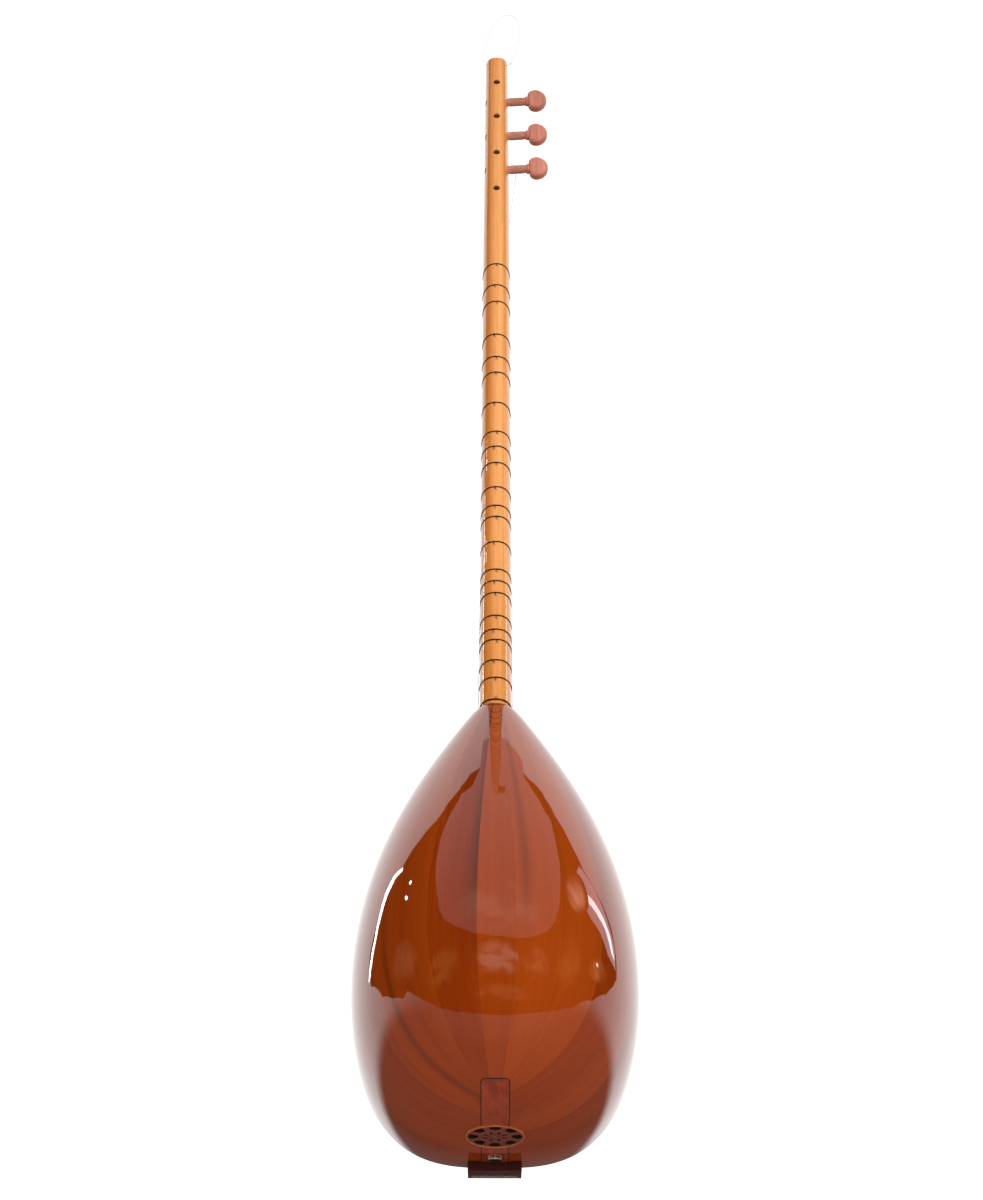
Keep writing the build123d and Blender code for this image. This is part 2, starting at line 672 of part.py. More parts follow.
def main():
    os.makedirs("parts", exist_ok=True)
    outer = bowl_form(0.0)
    inner = bowl_form(BOWL_WALL)
    save(make_bowl(outer, inner), "bowl_staves")
    board, binding = make_board(outer, bowl_form(BINDING_WIDTH))
    save(board, "soundboard")
    save(binding, "binding")
    neck_block, tail_block = make_blocks()
    save(neck_block, "neck_block")
    save(tail_block, "tail_block")
    save(make_cap(outer), "tail_cap")
    save(make_tailpiece(), "tailpiece")
    rosette, ring = make_rosette()
    save(rosette, "rosette")
    save(ring, "rosette_ring")
    jack_nut, jack_sleeve = make_jack()
    save(jack_nut, "jack_nut")
    save(jack_sleeve, "jack_sleeve")
    save(make_pickup(), "pickup_disc")
    save(make_bridge(), "bridge")
    save(make_nut(), "nut")
    save(make_neck(), "neck")
    front_z = [NUT_Z + height for height in FRONT_PEG_HEIGHTS]
    front_depths = [neck_size(z)[1] - head_face_y(z) for z in front_z]
    side_widths = [2 * neck_size(NUT_Z + height)[0] for height in SIDE_PEG_HEIGHTS]
    save_pegs("front", front_peg_places(), (3, 4, 5, 6), front_depths)
    save_pegs("side", side_peg_places(), (0, 1, 2), side_widths)
    for number in range(len(STRINGS)):
        save(make_string(number), f"string_{number + 1}")
    for number, cents in enumerate(FRET_CENTS):
        save(make_fret(cents), f"fret_{number + 1:02d}")
    save(make_loop(), "hanging_loop")


main()
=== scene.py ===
"""Looks of the long-neck baglama saz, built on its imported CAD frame. Metres, in the CAD's own frame."""

import json
import math

import bmesh
import bpy
import numpy as np
from mathutils import Matrix, Vector


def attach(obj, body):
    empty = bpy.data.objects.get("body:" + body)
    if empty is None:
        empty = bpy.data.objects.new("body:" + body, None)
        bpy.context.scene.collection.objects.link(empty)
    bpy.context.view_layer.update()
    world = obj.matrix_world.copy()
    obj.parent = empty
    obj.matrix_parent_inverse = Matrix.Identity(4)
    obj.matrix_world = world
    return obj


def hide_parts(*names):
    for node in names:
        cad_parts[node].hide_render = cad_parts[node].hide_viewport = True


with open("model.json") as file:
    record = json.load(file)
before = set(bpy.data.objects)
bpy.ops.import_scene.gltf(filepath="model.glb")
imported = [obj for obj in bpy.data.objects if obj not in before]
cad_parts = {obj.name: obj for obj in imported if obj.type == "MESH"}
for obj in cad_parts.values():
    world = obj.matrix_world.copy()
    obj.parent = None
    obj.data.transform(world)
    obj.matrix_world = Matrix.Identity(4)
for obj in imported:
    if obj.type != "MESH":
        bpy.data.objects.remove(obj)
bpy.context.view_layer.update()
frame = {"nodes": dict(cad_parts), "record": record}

NODES = frame["nodes"]
MM = 0.001

# ---------------- camera

CAMERA_PLACE = (0.0040, 1.4815, -0.2955)
CAMERA_PITCH = math.radians(29.2)
CAMERA_ROLL = 0.0032  # radians
FOCAL_LENGTH = 2.975  # in halves of the image's height


def add_object(name, data):
    """New object in the scene, at the origin."""
    thing = bpy.data.objects.new(name, data)
    bpy.context.scene.collection.objects.link(thing)
    return thing


def add_camera():
    """Camera low behind the bowl, looking up at the back of the instrument."""
    data = bpy.data.cameras.new("camera")
    data.sensor_fit = "VERTICAL"
    data.angle_y = 2 * math.atan(1 / FOCAL_LENGTH)
    right = (-1, 0, 0)
    up = (0, math.sin(CAMERA_PITCH), math.cos(CAMERA_PITCH))
    back = (0, math.cos(CAMERA_PITCH), -math.sin(CAMERA_PITCH))
    place = Matrix((right, up, back)).transposed().to_4x4() @ Matrix.Rotation(CAMERA_ROLL, 4, "Z")
    place.translation = CAMERA_PLACE
    camera = add_object("camera", data)
    camera.matrix_world = place
    bpy.context.scene.camera = camera


# ---------------- node helpers


class Nodes:
    """Short calls that add and link the nodes of one tree."""

    def __init__(self, tree):
        self.tree = tree

    def new(self, kind):
        return self.tree.nodes.new("ShaderNode" + kind)

    def put(self, socket, value):
        """Link an output to a socket, or set the socket's own value."""
        if isinstance(value, bpy.types.NodeSocket):
            self.tree.links.new(value, socket)
        else:
            socket.default_value = value

    def fill(self, node, **values):
        """Fill a node's sockets by name; underscores stand for spaces."""
        for key, value in values.items():
            self.put(node.inputs[key.replace("_", " ")], value)

    def split(self, vector):
        node = self.new("SeparateXYZ")
        self.put(node.inputs[0], vector)
        return node.outputs

    def scaled(self, vector, scale, shift=(0, 0, 0)):
        node = self.new("Mapping")
        self.fill(node, Vector=vector, Scale=scale, Location=shift)
        return node.outputs[0]

    def noise(self, vector, detail=4.0, roughness=0.55, distortion=0.0, scale=1.0):
        node = self.new("TexNoise")
        self.fill(node, Vector=vector, Scale=scale)
        self.fill(node, Detail=detail, Roughness=roughness, Distortion=distortion)
        return node.outputs[0]

    def math(self, kind, *values):
        node = self.new("Math")
        node.operation = kind
        for socket, value in zip(node.inputs, values):
            self.put(socket, value)
        return node.outputs[0]

    def rise(self, value, low, high, start=0.0, end=1.0):
        """Smooth step of a value from low to high."""
        node = self.new("MapRange")
        node.interpolation_type = "SMOOTHSTEP"
        self.fill(node, Value=value, From_Min=low, From_Max=high, To_Min=start, To_Max=end)
        return node.outputs[0]

    def ramp(self, value, *stops):
        """Colour ramp through (position, colour) stops."""
        node = self.new("ValToRGB")
        self.put(node.inputs[0], value)
        items = node.color_ramp.elements
        while len(items) < len(stops):
            items.new(0.5)
        for item, (position, colour) in zip(items, stops):
            item.position = position
            item.color = (*colour, 1)
        return node.outputs[0]

    def mix(self, share, a, b, kind="MIX"):
        node = self.new("Mix")
        node.data_type = "RGBA"
        node.blend_type = kind
        self.put(node.inputs[0], share)
        for socket, colour in ((node.inputs[6], a), (node.inputs[7], b)):
            self.put(socket, colour if isinstance(colour, bpy.types.NodeSocket) else (*colour, 1))
        return node.outputs[2]

    def bump(self, height, strength, distance):
        node = self.new("Bump")
        self.fill(node, Height=height, Strength=strength, Distance=distance)
        return node.outputs[0]


class Shader(Nodes):
    """A material under construction, round one principled shader."""

    def __init__(self, name):
        self.mat = bpy.data.materials.new(name)
        self.mat.use_nodes = True
        super().__init__(self.mat.node_tree)
        self.tree.nodes.clear()
        self.out = self.new("OutputMaterial")
        self.bsdf = self.new("BsdfPrincipled")
        self.put(self.out.inputs[0], self.bsdf.outputs[0])

    def set(self, **values):
        self.fill(self.bsdf, **values)

    def uv(self, layer):
        node = self.new("UVMap")
        node.uv_map = layer
        return node.outputs[0]

    def place(self):
        return self.new("TexCoord").outputs["Object"]


def lacquer(shader, gloss, waviness):
    """Clear gloss coat with the faint unevenness of a hand-rubbed finish."""
    waves = shader.noise(shader.place(), detail=1.0, scale=38.0)
    shader.set(Coat_Weight=1.0, Coat_Roughness=gloss, Coat_IOR=1.5, Specular_IOR_Level=0.0)
    shader.set(Coat_Normal=shader.bump(waves, waviness, 0.0006))


def wood(name, light, dark, along, coords=None, seed=0.0, contrast=1.0, pores=0.35, coated=True,
         gloss=0.03, roughness=0.45, waviness=0.12, specular=0.5, tint=None):
    """Wood with streaks, bands, fine fibres and pores. along is the number of the grain's axis."""
    shader = Shader(name)
    vector = shader.place() if coords is None else shader.uv(coords)

    def grain(cross, length, shift, **look):
        scale = [cross, cross, cross]
        scale[along] = length
        place = shader.scaled(vector, scale, (seed + shift, seed * 0.7 + shift, seed * 1.3))
        return shader.noise(place, **look)

    bands = grain(34, 1.7, 1.3, detail=3, roughness=0.5, distortion=0.6)
    streaks = grain(190, 4.5, 5.1, detail=5, roughness=0.62, distortion=0.25)
    fibres = grain(1400, 26, 8.7, detail=3, roughness=0.6)
    specks = grain(2300, 95, 3.9, detail=1)
    blend = shader.math("MULTIPLY_ADD", streaks, 0.45, shader.math("MULTIPLY", bands, 0.55))
    tone = shader.rise(blend, 0.5 - 0.16 / contrast, 0.5 + 0.16 / contrast)
    fine = shader.rise(fibres, 0.3, 0.7, 0.86, 1.08)
    colour = shader.mix(1.0, shader.mix(tone, dark, light), fine, "MULTIPLY")
    colour = shader.mix(shader.rise(specks, 0.62, 0.74, 0.0, pores), colour, tuple(0.35 * c for c in dark))
    if tint is not None:
        colour = tint(shader, colour)
    shader.set(Base_Color=colour, Roughness=roughness, Specular_IOR_Level=specular)
    shader.set(Normal=shader.bump(fibres, 0.18 if coated else 0.45, 0.0002))
    if coated:
        lacquer(shader, gloss, waviness)
    return shader.mat


# ---------------- materials


def bowl_tint(shader, colour):
    """Tone of each stave, its darker stained edge and the glue line at the seam."""
    edge = shader.split(shader.uv("edge"))
    stain = shader.split(shader.uv("stain"))
    colour = shader.mix(edge[1], colour, (0.33, 0.056, 0.0045))
    colour = shader.mix(stain[0], colour, (0.048, 0.0075, 0.002))
    line = shader.rise(edge[0], 0.00008, 0.00040, 0.32, 0.0)
    return shader.mix(line, colour, (0.055, 0.010, 0.004))


def neck_painted_shade(shader, colour):
    """Painted shade: darker colour along both sides of the neck where it rounds away, more of it on the +X
    side, so the middle reads as a lighter painted sheen.
    """
    x = shader.split(shader.place())[0]
    # painted shade on the +X side, then a fainter one on the -X side
    side = shader.rise(x, -0.002, 0.009, 0.0, 0.55)
    colour = shader.mix(side, colour, (0.43, 0.125, 0.016))
    other = shader.rise(x, -0.012, -0.006, 0.35, 0.0)
    return shader.mix(other, colour, (0.48, 0.18, 0.033))


def peg_hole_shade(shader, colour):
    """Darker end grain of the pegs' tips, deepened to near black as painted shade of the head's far holes.
    """
    place = shader.split(shader.place())
    back = shader.rise(place[1], 0.0195, 0.0215, 0.0, 1.0)
    side = shader.rise(place[0], 0.0085, 0.0100, 0.0, 1.0)
    # near-black painted shade where the tips sit in the far holes
    return shader.mix(shader.math("MAXIMUM", back, side), colour, (0.035, 0.012, 0.006))


def spruce_tint(shader, colour):
    """Fine straight annual rings of the soundboard."""
    x = shader.split(shader.place())[0]
    rings = shader.new("TexWave")
    rings.wave_type = "BANDS"
    rings.bands_direction = "X"
    shader.fill(rings, Vector=shader.scaled(shader.place(), (1, 1, 0.04)))
    shader.fill(rings, Scale=95.0, Distortion=1.2, Detail=1.0, Detail_Scale=0.6)
    late = shader.rise(rings.outputs[1], 0.62, 0.98, 0.0, 0.42)
    colour = shader.mix(late, colour, (0.42, 0.22, 0.075))
    wings = shader.rise(shader.math("ABSOLUTE", x), 0.0, 0.11, 0.0, 0.22)
    return shader.mix(wings, colour, (0.50, 0.27, 0.09))


def metal(name, colour, roughness, along=2, metallic=1.0):
    """Drawn or plated metal with fine marks along its length."""
    shader = Shader(name)
    scale = [900, 900, 900]
    scale[along] = 70
    marks = shader.noise(shader.scaled(shader.place(), scale), detail=3)
    dull = tuple(0.72 * c for c in colour)
    shader.set(Base_Color=shader.mix(shader.rise(marks, 0.35, 0.75), colour, dull), Metallic=metallic)
    shader.set(Roughness=shader.rise(marks, 0.3, 0.7, 0.8 * roughness, 1.4 * roughness))
    shader.set(Normal=shader.bump(marks, 0.06, 0.00005))
    return shader.mat


def thread():
    """Dark nylon thread, slightly shiny, with its own twist."""
    shader = Shader("fret_thread")
    marks = shader.noise(shader.scaled(shader.place(), (1600, 1600, 1600)), detail=3)
    shader.set(Base_Color=shader.mix(marks, (0.004, 0.003, 0.003), (0.018, 0.012, 0.009)))
    shader.set(Roughness=shader.rise(marks, 0.3, 0.7, 0.3, 0.5), Specular_IOR_Level=0.35)
    shader.set(Normal=shader.bump(marks, 0.3, 0.00006))
    return shader.mat


def bone():
    """Polished bone with faint pores."""
    shader = Shader("nut_bone")
    clouds = shader.noise(shader.scaled(shader.place(), (260, 900, 260)), detail=4)
    shader.set(Base_Color=shader.mix(shader.rise(clouds, 0.3, 0.75), (0.80, 0.74, 0.60), (0.62, 0.53, 0.38)))
    shader.set(Roughness=shader.rise(clouds, 0.3, 0.7, 0.22, 0.36), Subsurface_Weight=0.15)
    shader.bsdf.inputs["Subsurface Radius"].default_value = (0.003, 0.002, 0.001)
    shader.set(Normal=shader.bump(clouds, 0.15, 0.0001))
    return shader.mat


def inlay():
    """Pale inlaid line with a worn, slightly uneven surface."""
    shader = Shader("inlay")
    marks = shader.noise(shader.scaled(shader.place(), (700, 700, 700)), detail=4)
    shader.set(Base_Color=shader.mix(shader.rise(marks, 0.35, 0.7), (0.46, 0.33, 0.27), (0.25, 0.14, 0.11)))
    shader.set(Roughness=shader.rise(marks, 0.3, 0.7, 0.25, 0.5))
    shader.set(Normal=shader.bump(marks, 0.2, 0.00008))
    return shader.mat


# lighter and darker colour, number of the grain's axis, and what differs from plain lacquered wood
WOODS = {
    "bowl_wood": ((0.205, 0.0270, 0.0016), (0.108, 0.0098, 0.0006), 1,
                  dict(coords="grain", contrast=0.55, pores=0.16, tint=bowl_tint, waviness=0.16)),
    # the neck's tint paints shade along both sides of the neck
    "neck_wood": ((0.68, 0.305, 0.092), (0.52, 0.185, 0.036), 2,
                  dict(seed=2.0, contrast=0.8, pores=0.18, tint=neck_painted_shade)),
    "board_wood": ((0.62, 0.40, 0.17), (0.54, 0.32, 0.12), 2,
                   dict(seed=4.0, contrast=0.6, pores=0.08, tint=spruce_tint, gloss=0.12)),
    "binding_wood": ((0.075, 0.020, 0.010), (0.030, 0.010, 0.006), 2, dict(seed=5.0)),
    "block_wood": ((0.50, 0.33, 0.18), (0.38, 0.22, 0.11), 2, dict(seed=6.0, coated=False, roughness=0.75)),
    "cap_wood": ((0.25, 0.036, 0.009), (0.140, 0.018, 0.005), 1, dict(seed=7.0, pores=0.6, waviness=0.14)),
    "tailpiece_wood": ((0.045, 0.006, 0.004), (0.012, 0.003, 0.0025), 0,
                       dict(seed=8.0, coated=False, roughness=0.4, specular=0.06)),
    "bridge_wood": ((0.42, 0.22, 0.10), (0.28, 0.13, 0.055), 0,
                    dict(seed=9.0, coated=False, roughness=0.55)),
    "rosette_wood": ((0.165, 0.030, 0.012), (0.085, 0.016, 0.007), 0, dict(seed=10.0)),
    "ring_wood": ((0.34, 0.085, 0.018), (0.22, 0.050, 0.012), 1, dict(seed=11.0)),
    # the pegs' tint paints the shade of the head's far holes on their tips
    "peg_wood": ((0.56, 0.20, 0.125), (0.38, 0.120, 0.075), 2,
                 dict(seed=12.0, coated=False, roughness=0.62, pores=0.6, tint=peg_hole_shade)),
    "burnt_edge": ((0.014, 0.007, 0.005), (0.006, 0.004, 0.003), 0,
                   dict(seed=13.0, coated=False, roughness=0.8)),
    "inside_wood": ((0.16, 0.085, 0.045), (0.10, 0.050, 0.026), 2,
                    dict(seed=14.0, coated=False, roughness=0.8)),
}
MATERIALS = {name: wood(name, *look, **rest) for name, (*look, rest) in WOODS.items()}
MATERIALS |= {
    "nut_bone": bone(),
    "fret_thread": thread(),
    "plated_metal": metal("plated_metal", (0.78, 0.75, 0.70), 0.18),
    "string_steel": metal("string_steel", (0.72, 0.71, 0.69), 0.24),
    "pickup_brass": metal("pickup_brass", (0.75, 0.56, 0.26), 0.3, along=0),
    "wound_copper": metal("wound_copper", (0.62, 0.31, 0.22), 0.42, along=0, metallic=0.35),
    "inlay": inlay(),
}


def paint_nodes():
    """Give every CAD node the material of its record slot, and the wound strings theirs."""
    for part in frame["record"]["subparts"]:
        data = NODES[part["node"]].data
        data.materials.clear()
        data.materials.append(MATERIALS[part["material_slot"]])
    for name, node in NODES.items():
        if name.startswith("winding_"):
            node.data.materials[0] = MATERIALS["wound_copper"]


# ---------------- mesh helpers


def add_mesh(name, verts, faces, material, body="root", slot=None, smooth=True):
    """New piece from points and faces, riding on a body, with its faces turned outwards."""
    data = bpy.data.meshes.new(name)
    data.from_pydata([tuple(v) for v in verts], [], [tuple(int(i) for i in f) for f in faces])
    piece = add_piece(name, data, material, body, slot)
    outwards(piece, smooth)
    return piece


def add_piece(name, data, material, body="root", slot=None):
    """New piece from a mesh, riding on a body."""
    piece = add_object(name, data)
    data.materials.clear()
    data.materials.append(MATERIALS[material])
    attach(piece, body)
    slot or material
    return piece


def outwards(piece, smooth):
    """Turn the faces outwards and shade them."""
    work = bmesh.new()
    work.from_mesh(piece.data)
    bmesh.ops.recalc_face_normals(work, faces=work.faces)
    for face in work.faces:
        face.smooth = smooth
    work.to_mesh(piece.data)
    work.free()


def apply_modifiers(piece):
    """Replace a piece's mesh by its evaluated one."""
    graph = bpy.context.evaluated_depsgraph_get()
    data = bpy.data.meshes.new_from_object(piece.evaluated_get(graph))
    old = piece.data
    piece.modifiers.clear()
    piece.data = data
    bpy.data.meshes.remove(old)


def cut(piece, cutter):
    """Exact boolean cut."""
    modifier = piece.modifiers.new("cut", "BOOLEAN")
    modifier.operation = "DIFFERENCE"
    modifier.solver = "EXACT"
    modifier.object = cutter
    apply_modifiers(piece)


def bevelled(piece, width):
    """Round the edges that are sharper than 30 degrees."""
    modifier = piece.modifiers.new("edges", "BEVEL")
    modifier.width = width
    modifier.segments = 3
    modifier.limit_method = "ANGLE"
    modifier.angle_limit = math.radians(30)
    modifier.harden_normals = True
    apply_modifiers(piece)


def circle(radius, count):
    """Points round a circle, as x and y."""
    angles = [2 * math.pi * k / count for k in range(count)]
    return [(radius * math.cos(angle), radius * math.sin(angle)) for angle in angles]


def prism_faces(sides):
    """Faces of a prism between two rings of points."""
    faces = [(k, (k + 1) % sides, sides + (k + 1) % sides, sides + k) for k in range(sides)]
    return faces + [tuple(range(sides))[::-1], tuple(range(sides, 2 * sides))]


def cylinder(name, place, radius, low, high, sides):
    """Scratch cylinder along the place's own Z, for cutting."""
    verts = [place @ Vector((x, y, z)) for z in (low, high) for x, y in circle(radius, sides)]
    data = bpy.data.meshes.new(name)
    data.from_pydata(verts, [], prism_faces(sides))
    cutter = add_object(name, data)
    outwards(cutter, False)
    return cutter


def grid_faces(rows, columns, start=0, round_columns=False, round_rows=False):
    """Quads of a grid of points in row order; either way may close into a ring."""
    faces = []
    for r in range(rows if round_rows else rows - 1):
        low, high = start + r * columns, start + (r + 1) % rows * columns
        for c in range(columns if round_columns else columns - 1):
            d = (c + 1) % columns
            faces.append((low + c, high + c, high + d, low + d))
    return faces


def shell_faces(rows, columns):
    """Faces of a closed shell between an outer and an inner grid of points."""
    base = rows * columns
    faces = grid_faces(rows, columns) + [face[::-1] for face in grid_faces(rows, columns, base)]
    border = [r * columns for r in range(rows)] + [base - columns + c for c in range(1, columns)]
    border += [r * columns + columns - 1 for r in range(rows - 2, -1, -1)] + list(range(columns - 2, 0, -1))
    return faces + [(a, b, base + b, base + a) for a, b in zip(border, border[1:] + border[:1])]


def tube(points, radius, sides, closed=False):
    """Points and faces of a tube along a line, its frame carried along without twist."""
    points = [Vector(p) for p in points]
    count = len(points)
    verts, normal = [], None
    for k, point in enumerate(points):
        before = points[k - 1] if (k or closed) else points[0]
        after = points[(k + 1) % count] if (k < count - 1 or closed) else points[-1]
        along = (after - before).normalized()
        if normal is None:
            normal = along.orthogonal().normalized()
        normal = (normal - along * normal.dot(along)).normalized()
        side = along.cross(normal)
        verts += [point + x * normal + y * side for x, y in circle(radius, sides)]
    faces = grid_faces(count, sides, 0, True, closed)
    if not closed:
        faces += [tuple(range(sides))[::-1], tuple(range((count - 1) * sides, count * sides))]
    return verts, faces


class Parts:
    """Several meshes gathered into one."""

    def __init__(self):
        self.verts, self.faces = [], []

    def add(self, verts, faces):
        start = len(self.verts)
        self.verts += [tuple(v) for v in verts]
        self.faces += [tuple(i + start for i in face) for face in faces]


# ---------------- shape of the bowl and the neck

TAIL_Z, BOWL_LENGTH = 0.007, 0.4035
JOINT_Z = TAIL_Z + BOWL_LENGTH
NUT_Z, HEAD_TOP_Z = 0.964, 1.226
SCALE_LENGTH = 0.880  # of the open strings, from the nut to the bridge
# the neck's half width and depth at the bowl, at the nut and at the head's end
NECK_HALF, NECK_DEPTH = (0.0148, 0.0141, 0.0126), (0.028, 0.026, 0.025)
SIDE_SWELL, SIDE_TAIL_POWER, SIDE_NECK_POWER = 0.2203, 0.331, 0.515
SIDE_FALL, SIDE_TAPER, SIDE_TAPER_POWER = 0.207, 0.494, 4
BACK_SWELL, BACK_TAIL_POWER, BACK_FALL, BACK_CURVE = 0.670, 0.5, 0.62, 0.22
POWER = 2.3  # of the U section across the bowl and the neck
WIDEST, DEEPEST = 0.34, 0.29  # shares of the bowl's length
WALL, BOARD = 0.0035, 0.003  # thickness of the staves and of the soundboard


def half_width(t):
    """Half width of the bowl at a share t of its length, from the tail."""
    swell = SIDE_SWELL * t**SIDE_TAIL_POWER * (1 - t) ** SIDE_NECK_POWER
    return NECK_HALF[0] * t + swell * (1 - SIDE_FALL * t - SIDE_TAPER * t**SIDE_TAPER_POWER)


def depth(t):
    """Depth of the bowl at a share t of its length, from the tail."""
    swell = BACK_SWELL * t**BACK_TAIL_POWER * (1 - t)
    return NECK_DEPTH[0] * t + swell * (1 - BACK_FALL * t + BACK_CURVE * t * t)


def section(half, deep, angle):
    """Point across a U section, at an angle from the middle of its back."""
    x = np.sign(angle) * half * np.abs(np.sin(angle)) ** (2 / POWER)
    return x, deep * np.maximum(np.cos(angle), 0) ** (2 / POWER)


def neck_size(z):
    """Half width and depth of the neck or the head."""
    heights = (JOINT_Z, NUT_Z, HEAD_TOP_Z)
    return float(np.interp(z, heights, NECK_HALF)), float(np.interp(z, heights, NECK_DEPTH))


def bowl_value(points):
    """Zero on the bowl's outside, more outside it."""
    t = np.clip((points[:, 2] - TAIL_Z) / BOWL_LENGTH, 1e-5, 1 - 1e-6)
    across = (np.abs(points[:, 0]) / half_width(t)) ** POWER
    return across + (np.maximum(points[:, 1], 0) / depth(t)) ** POWER - 1


def bowl_normals(points):
    """Outward unit normals of the bowl's outside near these points."""
    steps = 2e-6 * np.eye(3)
    normals = np.stack([bowl_value(points + step) - bowl_value(points - step) for step in steps], 1)
    return normals / np.linalg.norm(normals, axis=1, keepdims=True)


def smooth_outside(piece, thickness):
    """True normals where the faces follow the bowl's outside, flat ones and the last material elsewhere."""
    data = piece.data
    data.polygons.foreach_set("use_smooth", [True] * len(data.polygons))
    coords = np.array([v.co for v in data.vertices])
    true = bowl_normals(coords)
    value = np.abs(bowl_value(coords - true * thickness))
    loops = np.zeros((len(data.loops), 3))
    second = len(data.materials) - 1
    for face in data.polygons:
        index = list(face.vertices)
        normal = np.array(face.normal)
        follows = (true[index] @ normal > 0.94).all() and value[index].max() < 0.05
        face.material_index = 0 if follows else second
        for loop, vertex in zip(face.loop_indices, index):
            loops[loop] = true[vertex] if follows else normal
    data.normals_split_custom_set([tuple(n) for n in loops])


# ---------------- bowl

# each seam on the +X side: its angle at the neck and at the widest place, and a point in mm at the tail
SEAM_ANGLES = (5.0, 22.0, 40.0, 53.0, 65.0, 76.0)
SEAM_TAIL = ((4, 170), (8, 168), (11, 158), (11, 124), (11, 88), (11, 50))
SEAM_GAP = 0.004  # radians, the least between two seams
STAVE_ROWS, STAVE_COLUMNS = 230, 14
# shift of the grain from one stave to the next, across and along
GRAIN_SHIFT = (0.37, 0.83)
# share of the lighter tone of each stave, from the centre out to the +X side, then to the -X side
STAVE_TONES = (0.32, 0.10, 0.28, 0.34, 0.26, 0.32, 0.22, 0.40, 0.42, 0.20, 0.30, 0.16, 0.24)


def stave_rows():
    """Shares of the bowl's length, closer together at both ends."""
    first, last = 0.001, 0.9995
    return first + (last - first) * (1 - (1 - np.linspace(0, 1, STAVE_ROWS) ** 2.2) ** 1.7)


def seam_angle_rows(number, rows):
    """Angle of a seam at each row, where its plane cuts the section."""
    angle = math.radians(SEAM_ANGLES[number])
    joint = section(NECK_HALF[0], NECK_DEPTH[0], angle)
    middle = section(half_width(WIDEST), depth(WIDEST), angle)
    a = np.array((*joint, JOINT_Z))
    b = np.array((*middle, TAIL_Z + WIDEST * BOWL_LENGTH))
    c = np.array((SEAM_TAIL[number][0] * MM, SEAM_TAIL[number][1] * MM, TAIL_Z))
    normal = np.cross(b - a, c - a)
    fine = np.linspace(0, math.pi / 2, 1500)
    angles = []
    for t in rows:
        x, y = section(half_width(t), depth(t), fine)
        z = TAIL_Z + t * BOWL_LENGTH
        side = (x - a[0]) * normal[0] + (y - a[1]) * normal[1] + (z - a[2]) * normal[2]
        side = side * np.sign(normal[0])
        found = np.nonzero((side[:-1] < 0) & (side[1:] >= 0))[0]
        if len(found):
            k = found[-1]
            angles.append(fine[k] + (fine[1] - fine[0]) * -side[k] / (side[k + 1] - side[k]))
        else:
            angles.append(0.0 if side[0] >= 0 else math.pi / 2)
    return np.array(angles)


def stave_limits():
    """Low and high angle of every stave at every row, centre first, then +X side, then -X side."""
    rows = stave_rows()
    rim = np.arccos((BOARD / depth(rows)) ** (POWER / 2))
    seams = [seam_angle_rows(number, rows) for number in range(len(SEAM_ANGLES))]
    edges = []
    for seam in seams:
        low = edges[-1] + SEAM_GAP if edges else np.full(len(rows), SEAM_GAP)
        edges.append(np.minimum(np.maximum(seam, low), rim - SEAM_GAP * (len(seams) - len(edges))))
    edges.append(rim)
    limits = [(-edges[0], edges[0])]
    limits += list(zip(edges[:-1], edges[1:]))
    limits += [(-high, -low) for low, high in zip(edges[:-1], edges[1:])]
    return rows, limits


def stain_amount(number, share, t):
    """Dark sapwood: strong beside the centre on the +X side, faint on the other and low on the third."""
    if number == 1:
        return 0.85 * np.clip(1 - share / 0.36, 0, 1) ** 1.1 * np.clip((t - 0.22) / 0.2, 0, 1)
    if number == 7:
        near = np.exp(-(((1 - share) - 0.22) / 0.10) ** 2)
        return 0.45 * near * np.clip((t - 0.25) / 0.2, 0, 1)
    if number == 3:
        return 0.48 * np.exp(-((share - 0.2) / 0.12) ** 2) * np.clip((0.5 - t) / 0.25, 0, 1)
    return np.zeros_like(share)


def make_stave(number, rows, low, high):
    """One stave as a closed shell, with its grain, edge and stain maps."""
    share = np.linspace(0, 1, STAVE_COLUMNS + 1)
    angle = low[:, None] + (high - low)[:, None] * share[None, :]
    x, y = section(half_width(rows)[:, None], depth(rows)[:, None], angle)
    y = np.maximum(y, BOARD)
    z = np.repeat(TAIL_Z + BOWL_LENGTH * rows[:, None], len(share), 1)
    outer = np.stack([x, y, z], 2)
    narrow = 1 - WALL / half_width(WIDEST)
    shallow = 1 - WALL / depth(DEEPEST)
    inner_z = TAIL_Z + WALL + (BOWL_LENGTH - 2 * WALL) * (z - TAIL_Z) / BOWL_LENGTH
    inner = np.stack([x * narrow, np.maximum(y * shallow, BOARD), inner_z], 2)
    count, wide = len(rows), len(share)
    verts = np.concatenate([outer.reshape(-1, 3), inner.reshape(-1, 3)])
    piece = add_mesh(f"stave_{number + 1:02d}", verts, shell_faces(count, wide), "bowl_wood")
    steps = np.linalg.norm(np.diff(outer, axis=1), axis=2)
    width = steps.sum(1)
    middle = outer[:, wide // 2]
    along = np.concatenate([[0], np.cumsum(np.linalg.norm(np.diff(middle, axis=0), axis=1))])
    across = np.concatenate([np.zeros((count, 1)), np.cumsum(steps, 1)], 1)
    u = across - width[:, None] / 2 + GRAIN_SHIFT[0] * number
    v = np.repeat(along[:, None], wide, 1) + GRAIN_SHIFT[1] * number
    edge = np.minimum(across, width[:, None] - across)
    tone = np.full_like(edge, STAVE_TONES[number])
    stain = stain_amount(number, np.repeat(share[None, :], count, 0), rows[:, None])
    maps = {"grain": (u, v), "edge": (edge, tone), "stain": (stain, tone)}
    index = np.zeros(len(piece.data.loops), int)
    piece.data.loops.foreach_get("vertex_index", index)
    for layer, pair in maps.items():
        values = np.stack(pair, 2).reshape(-1, 2)[index % (count * wide)]
        piece.data.uv_layers.new(name=layer).data.foreach_set("uv", values.reshape(-1))
    return piece


